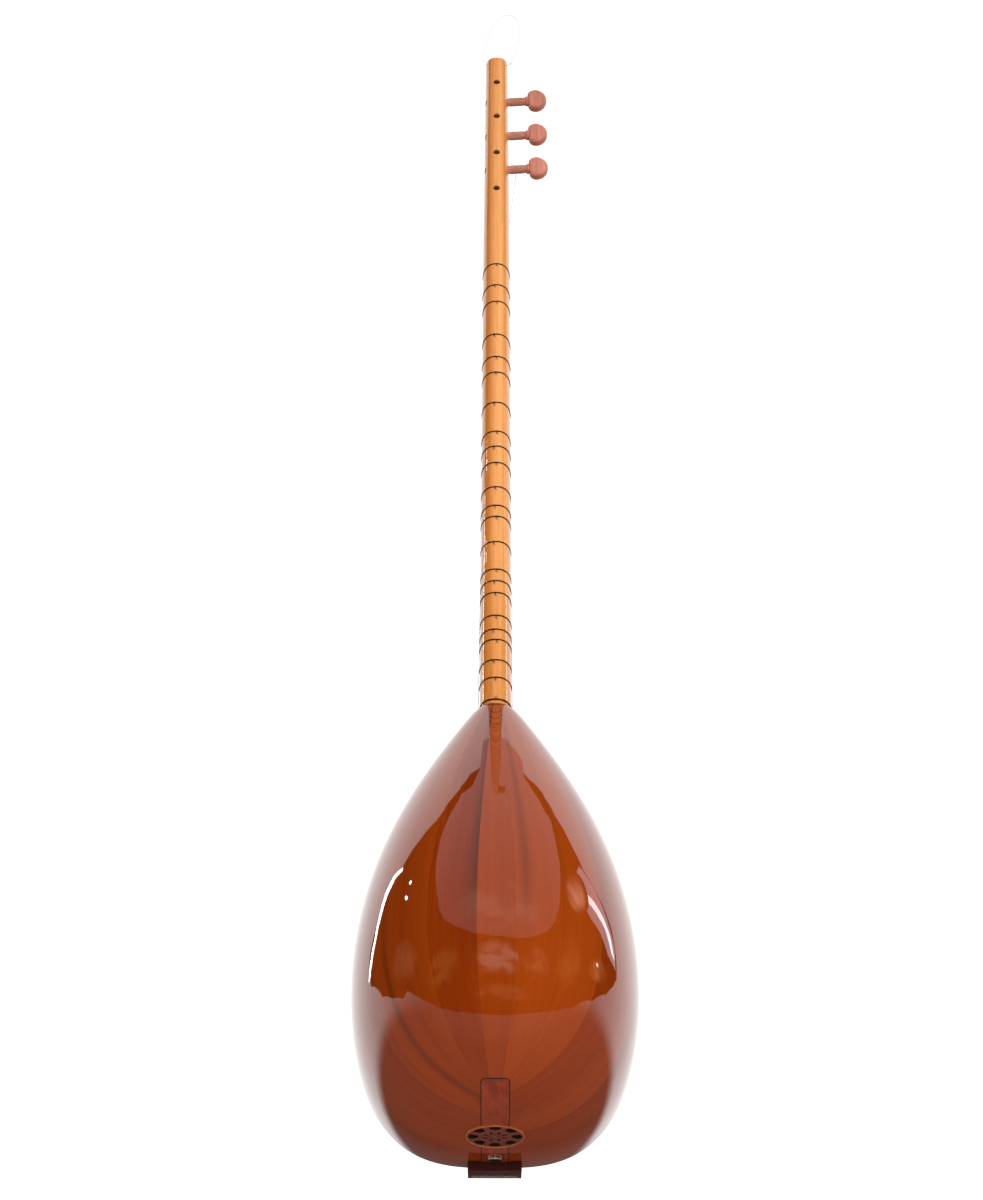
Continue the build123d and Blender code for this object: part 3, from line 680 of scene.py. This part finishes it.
ROSETTE_Y, ROSETTE_TILT = 0.083, math.radians(8.5)
ROSETTE_OUT = Vector((0, math.sin(ROSETTE_TILT), -math.cos(ROSETTE_TILT)))
ROSETTE_CENTRE = Vector((0, ROSETTE_Y, TAIL_Z + BOWL_LENGTH * (ROSETTE_Y / BACK_SWELL) ** 2 + 0.0003))
JACK_Y, JACK_SEAT_Z = 0.034, 0.0087


def rosette_place():
    """Rosette's frame: Z points out of the bowl."""
    side = Vector((1, 0, 0))
    up = ROSETTE_OUT.cross(side)
    place = Matrix((side, up, ROSETTE_OUT)).transposed().to_4x4()
    place.translation = ROSETTE_CENTRE
    return place


def tail_cutters():
    """Cutters of the sound hole and of the jack's hole."""
    hole = cylinder("cut_rosette", rosette_place(), 0.02305, -0.012, 0.012, 128)
    jack = cylinder("cut_jack", Matrix.Translation((0, JACK_Y, JACK_SEAT_Z)), 0.0064, -0.012, 0.012, 64)
    return hole, jack


def make_bowl(cutters):
    """All the staves, cut out round the sound hole and the jack."""
    rows, limits = stave_limits()
    for number, (low, high) in enumerate(limits):
        stave = make_stave(number, rows, low, high)
        for cutter in cutters:
            cut(stave, cutter)
        stave.data.materials.append(MATERIALS["inside_wood"])
        smooth_outside(stave, 0.0)
    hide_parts("bowl_staves")


# ---------------- tail cap


def tail_point(x, y):
    """Point of the bowl's outside over x, y near the tail."""
    low, high = 1e-5, 0.24
    for _ in range(46):
        t = (low + high) / 2
        if (abs(x) / half_width(t)) ** POWER + (y / depth(t)) ** POWER > 1:
            low = t
        else:
            high = t
    return np.array((x, y, TAIL_Z + BOWL_LENGTH * (low + high) / 2))


def make_cap(cutters):
    """Thin dark veneer over the stave ends, with softened edges and a rounded top."""
    half, low, high, corner, thickness = 0.011, 0.0247, 0.1655, 0.005, 0.0005
    count, wide = 150, 30
    rows = low + (high - low) * np.linspace(0, 1, count) ** 0.85
    top, bottom = [], []
    for y in rows:
        over = max(y - (high - corner), 0.0)
        reach = half - corner + math.sqrt(max(corner**2 - over**2, 1e-9))
        for share in np.linspace(-1, 1, wide):
            point = tail_point(reach * share, y)
            normal = bowl_normals(point[None, :])[0]
            edge = min(reach * (1 - abs(share)), high - y)
            lift = thickness * min(edge / 0.0006, 1.0) ** 0.5
            top.append(point + normal * (lift + 0.00002))
            bottom.append(point - normal * 0.0006)
    piece = add_mesh("tail_veneer", top + bottom, shell_faces(count, wide), "cap_wood")
    for cutter in cutters:
        cut(piece, cutter)
    piece.data.materials.append(MATERIALS["burnt_edge"])
    smooth_outside(piece, thickness)
    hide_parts("tail_cap")


# ---------------- rosette


def flat_curve(name, outlines, thickness, round_edge, place):
    """Flat plate with openings from closed outlines, its edges rounded, as a mesh."""
    data = bpy.data.curves.new(name, "CURVE")
    data.dimensions = "2D"
    data.fill_mode = "BOTH"
    data.extrude = thickness / 2 - round_edge
    data.bevel_depth = round_edge
    data.bevel_resolution = 3
    data.offset = -round_edge
    for outline in outlines:
        spline = data.splines.new("POLY")
        spline.points.add(len(outline) - 1)
        for point, (x, y) in zip(spline.points, outline):
            point.co = (x, y, 0, 1)
        spline.use_cyclic_u = True
    curve = add_object(name, data)
    mesh = bpy.data.meshes.new_from_object(curve.evaluated_get(bpy.context.evaluated_depsgraph_get()))
    bpy.data.objects.remove(curve)
    mesh.transform(place @ Matrix.Translation((0, 0, -thickness / 2)))
    return mesh


def turned(x, y, turn):
    """Point turned about the origin."""
    return x * math.cos(turn) - y * math.sin(turn), x * math.sin(turn) + y * math.cos(turn)


def ellipse(x, y, a, b, turn=0.0, count=28):
    """Ellipse round x, y, then turned about the origin."""
    return [turned(a * c + x, b * s + y, turn) for c, s in circle(1, count)]


def petal(turn):
    """Rounded opening beside the rim, worked out in mm."""
    middle, points = 16.2, []
    for c, s in circle(1, 40):
        x = middle + 3.2 * math.copysign(abs(c) ** 0.6, c)
        y = (4.2 + 0.42 * (x - middle)) * math.copysign(abs(s) ** 0.6, s)
        bulge = 1.1 * (1 - (y / 5.6) ** 2) * max(c, 0)
        points.append(turned((x + bulge) * MM, y * MM, turn))
    return points


RIM_PROFILE = ((21.0, -3.0), (21.0, 0.0), (21.25, 0.35), (21.7, 0.6), (22.2, 0.6), (22.7, 0.4), (23.0, 0.0),
               (23.0, -3.0))
STAR_RADIUS, STUD_LENGTH, STUD_WIDTH, STUD_RISE = 0.0117, 0.0012, 0.0016, 0.0006
HUB_RADIUS, HUB_SIDES, HUB_RISE = 0.0024, 16, 0.0009


def make_rosette():
    """Carved sound-hole disc: eight rim openings round a pierced star."""
    place = rosette_place()
    step = math.pi / 4
    outlines = [ellipse(0, 0, 0.0209, 0.0209, count=96)]
    for number in range(8):
        outlines.append(petal(number * step))
        outlines.append(ellipse(0.0080, 0, 0.0024, 0.0010, (number + 0.5) * step))
        outlines.append(ellipse(0.0046, 0, 0.0009, 0.0007, number * step))
    disc = flat_curve("rosette_disc", outlines, 0.003, 0.0003, place)
    piece = add_piece("rosette_disc", disc, "rosette_wood")
    disc.materials.append(MATERIALS["burnt_edge"])
    for face in disc.polygons:
        face.material_index = 1 if face.normal.dot(ROSETTE_OUT) < 0.35 else 0
    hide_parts("rosette")
    make_studs(place, step)
    make_rim(place)


def make_studs(place, step):
    """Low pyramids between the openings and a low cone in the middle."""
    star, sunk = Parts(), -0.0002
    for number in range(8):
        turn = (number + 0.5) * step
        corners = ((-STUD_LENGTH, 0), (0, STUD_WIDTH), (STUD_LENGTH, 0), (0, -STUD_WIDTH))
        base = [place @ Vector((*turned(STAR_RADIUS + x, y, turn), sunk)) for x, y in corners]
        tip = place @ Vector((*turned(STAR_RADIUS, 0, turn), STUD_RISE))
        star.add(base + [tip], [(0, 1, 4), (1, 2, 4), (2, 3, 4), (3, 0, 4), (3, 2, 1, 0)])
    hub = [place @ Vector((x, y, sunk)) for x, y in circle(HUB_RADIUS, HUB_SIDES)]
    sides = [(k, (k + 1) % HUB_SIDES, HUB_SIDES) for k in range(HUB_SIDES)]
    star.add(hub + [place @ Vector((0, 0, HUB_RISE))], sides + [tuple(range(HUB_SIDES))[::-1]])
    add_mesh("rosette_studs", star.verts, star.faces, "rosette_wood", smooth=False)


def make_rim(place):
    """Rounded pale ring round the disc."""
    count, wide = 128, len(RIM_PROFILE)
    verts = [place @ Vector((r * MM * c, r * MM * s, h * MM))
             for c, s in circle(1, count) for r, h in RIM_PROFILE]
    piece = add_mesh("rosette_rim", verts, grid_faces(count, wide, 0, True, True), "ring_wood")
    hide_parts("rosette_ring")


# ---------------- tailpiece

# strings at the bridge, in mm from the middle
STRING_PLACES = (-18.8, -16.0, -1.6, 1.6, 13.4, 16.2, 19.0)


def make_tailpiece():
    """Dark block with softened edges, pale border lines and a band of plain geometric ornament."""
    half, front, back, top, lip = 0.0215, -0.0044, 0.0247, 0.0074, 0.013
    outline = [(front, 0.0), (back, 0.0), (back, top), (0.0, top), (0.0, lip), (front, lip)]
    verts = [(x, y, z) for x in (-half, half) for y, z in outline]
    block = add_mesh("tail_block_outer", verts, prism_faces(len(outline)), "tailpiece_wood", smooth=False)
    for x in STRING_PLACES:
        place = Matrix.Translation((0.9 * x * MM, front / 2, lip))
        cutter = cylinder("cut_string", place, 0.0005, -0.0045, 0.002, 24)
        cut(block, cutter)
        bpy.data.objects.remove(cutter)
    bevelled(block, 0.0006)
    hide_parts("tailpiece")
    lines = Parts()
    for y in (front + 0.0020, front + 0.0090):
        border = [(x, y, 0.00002) for x in np.linspace(-half + 0.0015, half - 0.0015, 12)]
        lines.add(*tube(border, 0.00017, 8))
    middle = front + 0.0055
    for k in range(-4, 5):
        x = 0.0042 * k
        size = 0.0014 if k % 2 == 0 else 0.0009
        ring = [(x + size * 1.15, middle, 0), (x, middle + size, 0), (x - size * 1.15, middle, 0),
                (x, middle - size, 0)]
        lines.add(*tube(ring, 0.00013, 6, closed=True))
        if k < 4:
            wave = [(x + 0.0021 + 0.0006 * math.cos(a), middle + 0.0006 * math.sin(a), 0)
                    for a in np.linspace(0, 2 * math.pi, 12, endpoint=False)]
            lines.add(*tube(wave, 0.00012, 6, closed=True))
    add_mesh("tailpiece_inlay", lines.verts, lines.faces, "inlay", slot="tailpiece_wood")


# ---------------- frets

# cents above the open string
FRET_CENTS = (89, 148, 195, 291, 358, 406, 501, 595, 645, 701, 786, 853,
              894, 990, 1099, 1146, 1196, 1294, 1356, 1403, 1499, 1585, 1698)
THREAD_RADIUS, THREAD_PITCH, THREAD_CLEARANCE = 0.00022, 0.00041, 0.00030


def fret_loop(z, slope):
    """Closed line round the neck, just off its surface."""
    half, deep = (size + THREAD_CLEARANCE for size in neck_size(z))
    places = [section(half, deep, angle) for angle in np.linspace(math.pi / 2, -math.pi / 2, 60)]
    places += [(half * share, -THREAD_CLEARANCE) for share in np.linspace(-1, 1, 9)[1:-1]]
    return [(float(x), float(y), z + slope * float(x)) for x, y in places]


def make_frets():
    """Each fret: turns of thread side by side, tied off in a small knot on the back.

    The last one has one turn more, and its thread ends point up, clear of the bowl."""
    for number, cents in enumerate(FRET_CENTS, 1):
        z = NUT_Z - SCALE_LENGTH * (1 - 2 ** (-cents / 1200))
        turns, down = (4, -1) if number == len(FRET_CENTS) else (3, 1)
        parts = Parts()
        slope = 0.00021 * math.sin(2.1 * number)
        for turn in range(turns):
            line = fret_loop(z + (turn - (turns - 1) / 2) * THREAD_PITCH, slope)
            parts.add(*tube(line, THREAD_RADIUS, 8, closed=True))
        deep = neck_size(z)[1]
        x = 0.0006 + 0.0016 * math.sin(3.7 * number)
        knot = []
        for k in range(26):
            angle = 2 * math.pi * 2.2 * k / 25
            knot.append((x + 0.00042 * math.cos(angle) + 0.00010 * math.sin(7 * angle),
                         deep + 0.00062 + 0.00022 * math.sin(1.5 * angle),
                         z + 0.00052 * math.sin(angle) - 0.0003))
        parts.add(*tube(knot, THREAD_RADIUS, 8))
        low = z - 0.0004
        for side, length in ((-1, 0.0038 * down), (1, 0.0026 * down)):
            tail = [(x + side * 0.0001, deep + 0.0007, low),
                    (x + side * 0.0005 + 0.0002 * math.sin(number), deep + 0.0009, low - 0.4 * length),
                    (x + side * 0.0006 + 0.0005 * math.cos(2 * number), deep + 0.0007, low - length)]
            parts.add(*tube(tail, 0.9 * THREAD_RADIUS, 8))
        node = f"fret_{number:02d}"
        piece = add_mesh(f"thread_{number:02d}", parts.verts, parts.faces, "fret_thread", f"tied_{node}")
        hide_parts(node)


# ---------------- peg windings

FRONT_PEG_HEIGHTS = (0.0607, 0.1121, 0.1656, 0.2167)
SIDE_PEG_HEIGHTS = (0.0982, 0.1474, 0.1980)
SIDE_PEG_Y, SIDE_PEG_TILT = 0.0125, math.radians(4.5)


def peg_places():
    """Each peg's name with the point where it leaves the head and its outward direction."""
    for number, height in enumerate(FRONT_PEG_HEIGHTS, 1):
        face = 0.004 * (height - 0.004) / (HEAD_TOP_Z - NUT_Z - 0.004)
        yield f"front_{number}", Vector((0, face, NUT_Z + height)), Vector((0, -1, 0))
    for number, height in enumerate(SIDE_PEG_HEIGHTS, 1):
        start = Vector((-neck_size(NUT_Z + height)[0], SIDE_PEG_Y, NUT_Z + height))
        yield f"side_{number}", start, Vector((-math.cos(SIDE_PEG_TILT), 0, math.sin(SIDE_PEG_TILT)))


def make_windings():
    """String wound in close turns round each peg's shaft, its end tucked into the shaft's hole."""
    for number, (name, start, out) in enumerate(peg_places()):
        up = (Vector((0, 0, 1)) - out * out.z).normalized()
        side = out.cross(up)
        turns, first, last = 27, 0.0018, 0.0158
        line = []
        for k in range(turns * 14 + 1):
            share = k / (turns * 14)
            angle = 2 * math.pi * turns * share + number
            wobble = 0.00006 * math.sin(5.3 * angle / 6.28 + number)
            radius = 0.00452 + 0.00004 * math.sin(2.3 * angle)
            along = first + (last - first) * share + wobble
            line.append(start + out * along + radius * (math.cos(angle) * up + math.sin(angle) * side))
        line.append(start + out * 0.0165 + 0.0044 * side)
        line.append(start + out * 0.0165 + 0.0020 * side)
        wire = tube(line, 0.00024, 6)
        piece = add_mesh(f"turns_{name}", *wire, "wound_copper", f"peg_{name}", "string_steel")
        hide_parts(f"winding_{name}")


# ---------------- hanging loop

LOOP_HOLE_Z, LOOP_Y = NUT_Z + 0.2535, 0.014
LOOP_LENGTH, LOOP_DIAMETER = 0.1855, 0.0005
# mm from the middle of the head's cross hole
LOOP_ROUTE = (
    (8.5, 0.0, 0.0), (13.9, 0.0, 0.2), (14.9, -0.3, 4.5), (15.8, -1.0, 13.0), (14.6, -1.6, 28.0),
    (11.8, -1.4, 42.0), (6.4, -1.0, 57.0), (-1.6, -0.4, 72.0), (-13.0, 0.4, 81.5), (-23.0, 1.2, 73.0),
    (-26.2, 1.6, 56.0), (-25.2, 1.4, 38.0), (-20.8, 0.8, 20.0), (-18.2, 0.4, 9.5), (-16.8, 0.2, 4.0),
    (-13.9, 0.0, 0.2), (-8.5, 0.0, 0.0),
)


def make_loop():
    """Thin wire loop through the head, as one smooth curve."""
    data = bpy.data.curves.new("wire_loop", "CURVE")
    data.dimensions = "3D"
    data.bevel_depth = LOOP_DIAMETER / 2
    data.bevel_resolution = 4
    data.resolution_u = 12
    data.use_fill_caps = True
    spline = data.splines.new("NURBS")
    spline.points.add(len(LOOP_ROUTE) - 1)
    for point, (x, y, z) in zip(spline.points, LOOP_ROUTE):
        point.co = (x * MM, LOOP_Y + y * MM, LOOP_HOLE_Z + z * MM, 1)
    spline.order_u = 3
    spline.use_endpoint_u = True
    data.materials.append(MATERIALS["string_steel"])
    loop = add_object("wire_loop", data)
    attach(loop, "root")
    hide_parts("hanging_loop")
    twist = []
    for k in range(60):
        share = k / 59
        angle = 2 * math.pi * 5 * share
        radius = 0.00046 * min(1.0, 3 * (1 - share) + 0.1)
        middle = Vector((-0.0147 - 0.0026 * share, LOOP_Y + 0.0001, LOOP_HOLE_Z + 0.0010 + 0.0042 * share))
        c, s = math.cos(angle), math.sin(angle)
        twist.append(middle + radius * Vector((0.9 * c, s, -0.4 * c)))
    twist += [twist[-1] + Vector((-0.0012, 0.0002, -0.0004)), twist[-1] + Vector((-0.0030, 0.0003, -0.0006))]
    end = add_mesh("loop_twist", *tube(twist, 0.00018, 8), "string_steel")


# ---------------- studio

SHELL_CENTRE = Vector((0, 0.1, 0.25))
# cards on a shell round the bowl, as degrees to the +X side and upwards from a line 45 degrees above +Y
ROOM = (
    (-17, 59), (-22, 60), (-28, 60), (-33, 59), (-42, 58), (-52, 57), (-60, 61), (-65, 65),
    (-71, 69), (-75, 69), (-82, 68), (-86, 66), (-92, 57), (-99, 42), (-104, 11), (-97, -32),
    (-80, -62), (-57, -83), (-32, -96), (-10, -101), (5, -101), (25, -97), (50, -86), (73, -66),
    (83, -48), (89, -35), (94, -18), (96, -4), (102, 2), (103, 24), (99, 46), (85, 72),
    (78, 78), (73, 79), (70, 77), (68, 75), (64, 72), (59, 68), (53, 64), (50, 63),
    (42, 60), (32, 57), (21, 57), (13, 58), (8, 58),
)
PANEL = (
    (7, 62), (7, 58), (11, 55), (17, 55), (24, 53), (30, 49), (34, 44), (38, 36), (40, 26),
    (42, 15), (39, 5), (31, -4), (16, -14), (0, -18), (-14, -19), (-27, -15), (-36, -9), (-44, 0),
    (-47, 11), (-46, 23), (-42, 36), (-39, 43), (-34, 50), (-30, 55), (-25, 56), (-15, 58), (-15, 62),
)
SOFTBOX_LEFT = (
    (53, 63), (56, 70), (60, 73.6), (65, 74), (71, 74.3), (77, 76.5), (81, 77), (81.6, 75), (78.5, 73.4),
    (71.5, 71.6), (66, 71), (61, 70), (57, 67), (54, 62),
)
SOFTBOX_RIGHT = (
    (-60, 51), (-64, 55), (-69, 60), (-75, 64), (-81, 65), (-80, 62), (-74, 59), (-69, 54), (-63, 48),
)
GLOW_RIGHT = (
    (-50, 55), (-59, 60), (-66, 64), (-76, 68), (-84, 65), (-82, 55), (-75, 50), (-69, 44), (-62, 41),
    (-55, 43), (-50, 48),
)
ROOM_COLOUR = (0.012, 0.006, 0.003)
PANEL_COLOUR = (0.88, 0.60, 0.60)
# soft reflections in the room: middle, half sizes, colour, strength, and the colour behind
GLOWS = (
    ((-55, 40), (10, 12), (1.0, 0.55, 0.38), 3.6, ROOM_COLOUR),
    ((-3, -40), (24, 22), (1.0, 0.75, 0.60), 1.9, ROOM_COLOUR),
    ((-38, -36), (20, 20), (1.0, 0.60, 0.30), 1.2, ROOM_COLOUR),
    ((-72, -10), (17, 28), (1.0, 0.50, 0.12), 0.9, ROOM_COLOUR),
    ((-90, 30), (7, 18), (1.0, 0.50, 0.16), 1.6, ROOM_COLOUR),
    ((84, 14), (14, 26), (1.0, 0.60, 0.30), 0.6, ROOM_COLOUR),
    ((54, -34), (28, 22), (1.0, 0.55, 0.12), 1.0, ROOM_COLOUR),
    ((-8, -76), (34, 12), (1.0, 0.50, 0.20), 1.0, ROOM_COLOUR),
    ((-4, 4), (36, 21), (1.0, 0.78, 0.68), 1.5, PANEL_COLOUR),
    ((54.5, 49.0), (1.0, 1.2), (1.0, 0.98, 0.95), 40.0, ROOM_COLOUR),
    ((60.2, 46.2), (0.9, 1.8), (1.0, 0.98, 0.95), 30.0, ROOM_COLOUR),
    ((-87.8, 32.5), (1.5, 2.4), (1.0, 0.98, 0.95), 24.0, ROOM_COLOUR),
)


def shell_point(u, v, radius):
    """Point of the shell at u, v degrees from its middle."""
    middle = Vector((0, 1, 1)).normalized()
    rise = Vector((0, -1, 1)).normalized()
    angle = math.radians(math.hypot(u, v))
    away = (Vector((1, 0, 0)) * u + rise * v).normalized()
    return SHELL_CENTRE + radius * (math.cos(angle) * middle + math.sin(angle) * away)


def emitter(name, colour, strength, behind):
    """Glowing material, fading to the colour behind it where the mesh says so."""
    shader = Shader(name)
    shader.tree.nodes.remove(shader.bsdf)
    glow = shader.new("Emission")
    shader.put(shader.out.inputs[0], glow.outputs[0])
    bright = tuple(strength * c for c in colour)
    if behind is None:
        shader.put(glow.inputs[0], (*bright, 1))
    else:
        fade = shader.new("Attribute")
        fade.attribute_name = "fade"
        blotches = shader.noise(shader.place(), detail=1, distortion=0.2, scale=1.7)
        uneven = shader.math("MULTIPLY", fade.outputs["Fac"], shader.rise(blotches, 0.30, 0.66, 0.35, 1.0))
        shader.put(glow.inputs[0], shader.mix(shader.rise(uneven, 0.05, 0.85), behind, bright))
    return shader.mat


def card(name, outline, colour, strength, radius, behind=None, middle=(0, 0), size=(1, 1)):
    """Curved studio card that only mirror-like surfaces see."""
    work = bmesh.new()
    face = work.faces.new([work.verts.new((u, v, 0)) for u, v in outline])
    bmesh.ops.triangulate(work, faces=[face])
    longest = 4 if behind is None else 0.35 * min(size)
    for _ in range(5):
        edges = [edge for edge in work.edges if edge.calc_length() > longest]
        bmesh.ops.subdivide_edges(work, edges=edges, cuts=1)
        bmesh.ops.triangulate(work, faces=work.faces[:])
    fades = []
    for vertex in work.verts:
        u, v = vertex.co.x, vertex.co.y
        fades.append(max(0.0, 1 - ((u - middle[0]) / size[0]) ** 2 - ((v - middle[1]) / size[1]) ** 2))
        vertex.co = shell_point(u, v, radius)
    data = bpy.data.meshes.new(name)
    work.to_mesh(data)
    work.free()
    data.attributes.new("fade", "FLOAT", "POINT").data.foreach_set("value", fades)
    data.materials.append(emitter(name, colour, strength, behind))
    piece = add_object(name, data)
    for ray in ("camera", "diffuse", "shadow", "transmission"):
        setattr(piece, f"visible_{ray}", False)


def add_room():
    """Dark studio behind the camera, with its overhead panel, soft lights and dim glows."""
    card("room", ROOM, ROOM_COLOUR, 1.0, 3.00)
    card("panel", PANEL, PANEL_COLOUR, 1.0, 2.90)
    card("softbox_left", SOFTBOX_LEFT, (1, 1, 1), 14.0, 2.86)
    card("glow_right", GLOW_RIGHT, (1.0, 0.85, 0.95), 1.5, 2.90)
    card("softbox_right", SOFTBOX_RIGHT, (1, 0.96, 0.98), 7.0, 2.86)
    for number, (middle, size, colour, strength, behind) in enumerate(GLOWS):
        radius = 2.84 - 0.01 * number
        card(f"glow_{number}", ellipse(*middle, *size), colour, strength, radius, behind, middle, size)


def add_world():
    """White surround, dimmer low down and in front of the bowl."""
    world = bpy.data.worlds.new("studio")
    world.use_nodes = True
    sky = Nodes(world.node_tree)
    _, y, z = sky.split(sky.new("TexCoord").outputs["Generated"])
    stretch = sky.math("MULTIPLY_ADD", sky.math("MINIMUM", y, 0.0), -3.0, 1.0)
    white = sky.rise(sky.math("MULTIPLY", stretch, z), -0.50, 0.04)
    greys = ((0, 0.16), (0.05, 0.07), (0.16, 0.14), (0.36, 0.24), (0.52, 0.28), (0.66, 0.45), (0.95, 0.52))
    stops = [(position, (grey, 0.88 * grey, 0.90 * grey)) for position, grey in greys]
    floor = sky.ramp(sky.math("MULTIPLY_ADD", y, 0.5, 0.5), *stops)
    back = world.node_tree.nodes["Background"]
    sky.fill(back, Color=sky.mix(white, floor, (1, 1, 1)), Strength=1.2)
    bpy.context.scene.world = world


def add_lights():
    """Three soft panels: under the bowl, beside the neck and behind the camera. Nothing mirrors them."""
    for name, place, aim, size, power in (
        ("low_key", (-0.22, 0.62, -0.45), (0, 0.1, 0.10), (1.5, 0.5), 6.2),
        ("high_key", (-0.35, 0.75, 0.85), (0, 0.1, 0.38), (0.8, 0.8), 4.0),
        ("front", (0.0, 2.40, 0.30), (0, 0, 0.45), (2.8, 1.4), 6.0),
    ):
        data = bpy.data.lights.new(name, "AREA")
        data.shape = "RECTANGLE"
        data.size, data.size_y = size
        data.energy = power
        lamp = add_object(name, data)
        lamp.location = place
        lamp.rotation_euler = (Vector(aim) - Vector(place)).to_track_quat("-Z", "Y").to_euler()
        lamp.visible_glossy = False
        lamp.visible_camera = False


def add_floor():
    """Plain pale floor, a little below the instrument."""
    r, z = 30, -0.33
    data = bpy.data.meshes.new("floor")
    data.from_pydata([(-r, -r, z), (r, -r, z), (r, r, z), (-r, r, z)], [], [(0, 1, 2, 3)])
    shader = Shader("floor")
    marks = shader.noise(shader.scaled(shader.place(), (3, 3, 3)), detail=2)
    shader.set(Base_Color=shader.mix(marks, (0.78, 0.77, 0.77), (0.84, 0.83, 0.83)), Roughness=0.7)
    shader.set(Specular_IOR_Level=0.2)
    data.materials.append(shader.mat)
    floor = add_object("floor", data)
    for ray in ("glossy", "diffuse", "shadow"):
        setattr(floor, f"visible_{ray}", False)


def main():
    add_camera()
    make_loop()
    paint_nodes()
    cutters = tail_cutters()
    make_bowl(cutters)
    make_cap(cutters)
    for cutter in cutters:
        bpy.data.objects.remove(cutter)
    make_rosette()
    make_tailpiece()
    make_frets()
    make_windings()
    add_room()
    add_world()
    add_lights()
    add_floor()
    bpy.context.scene.view_settings.view_transform = "Standard"


main()
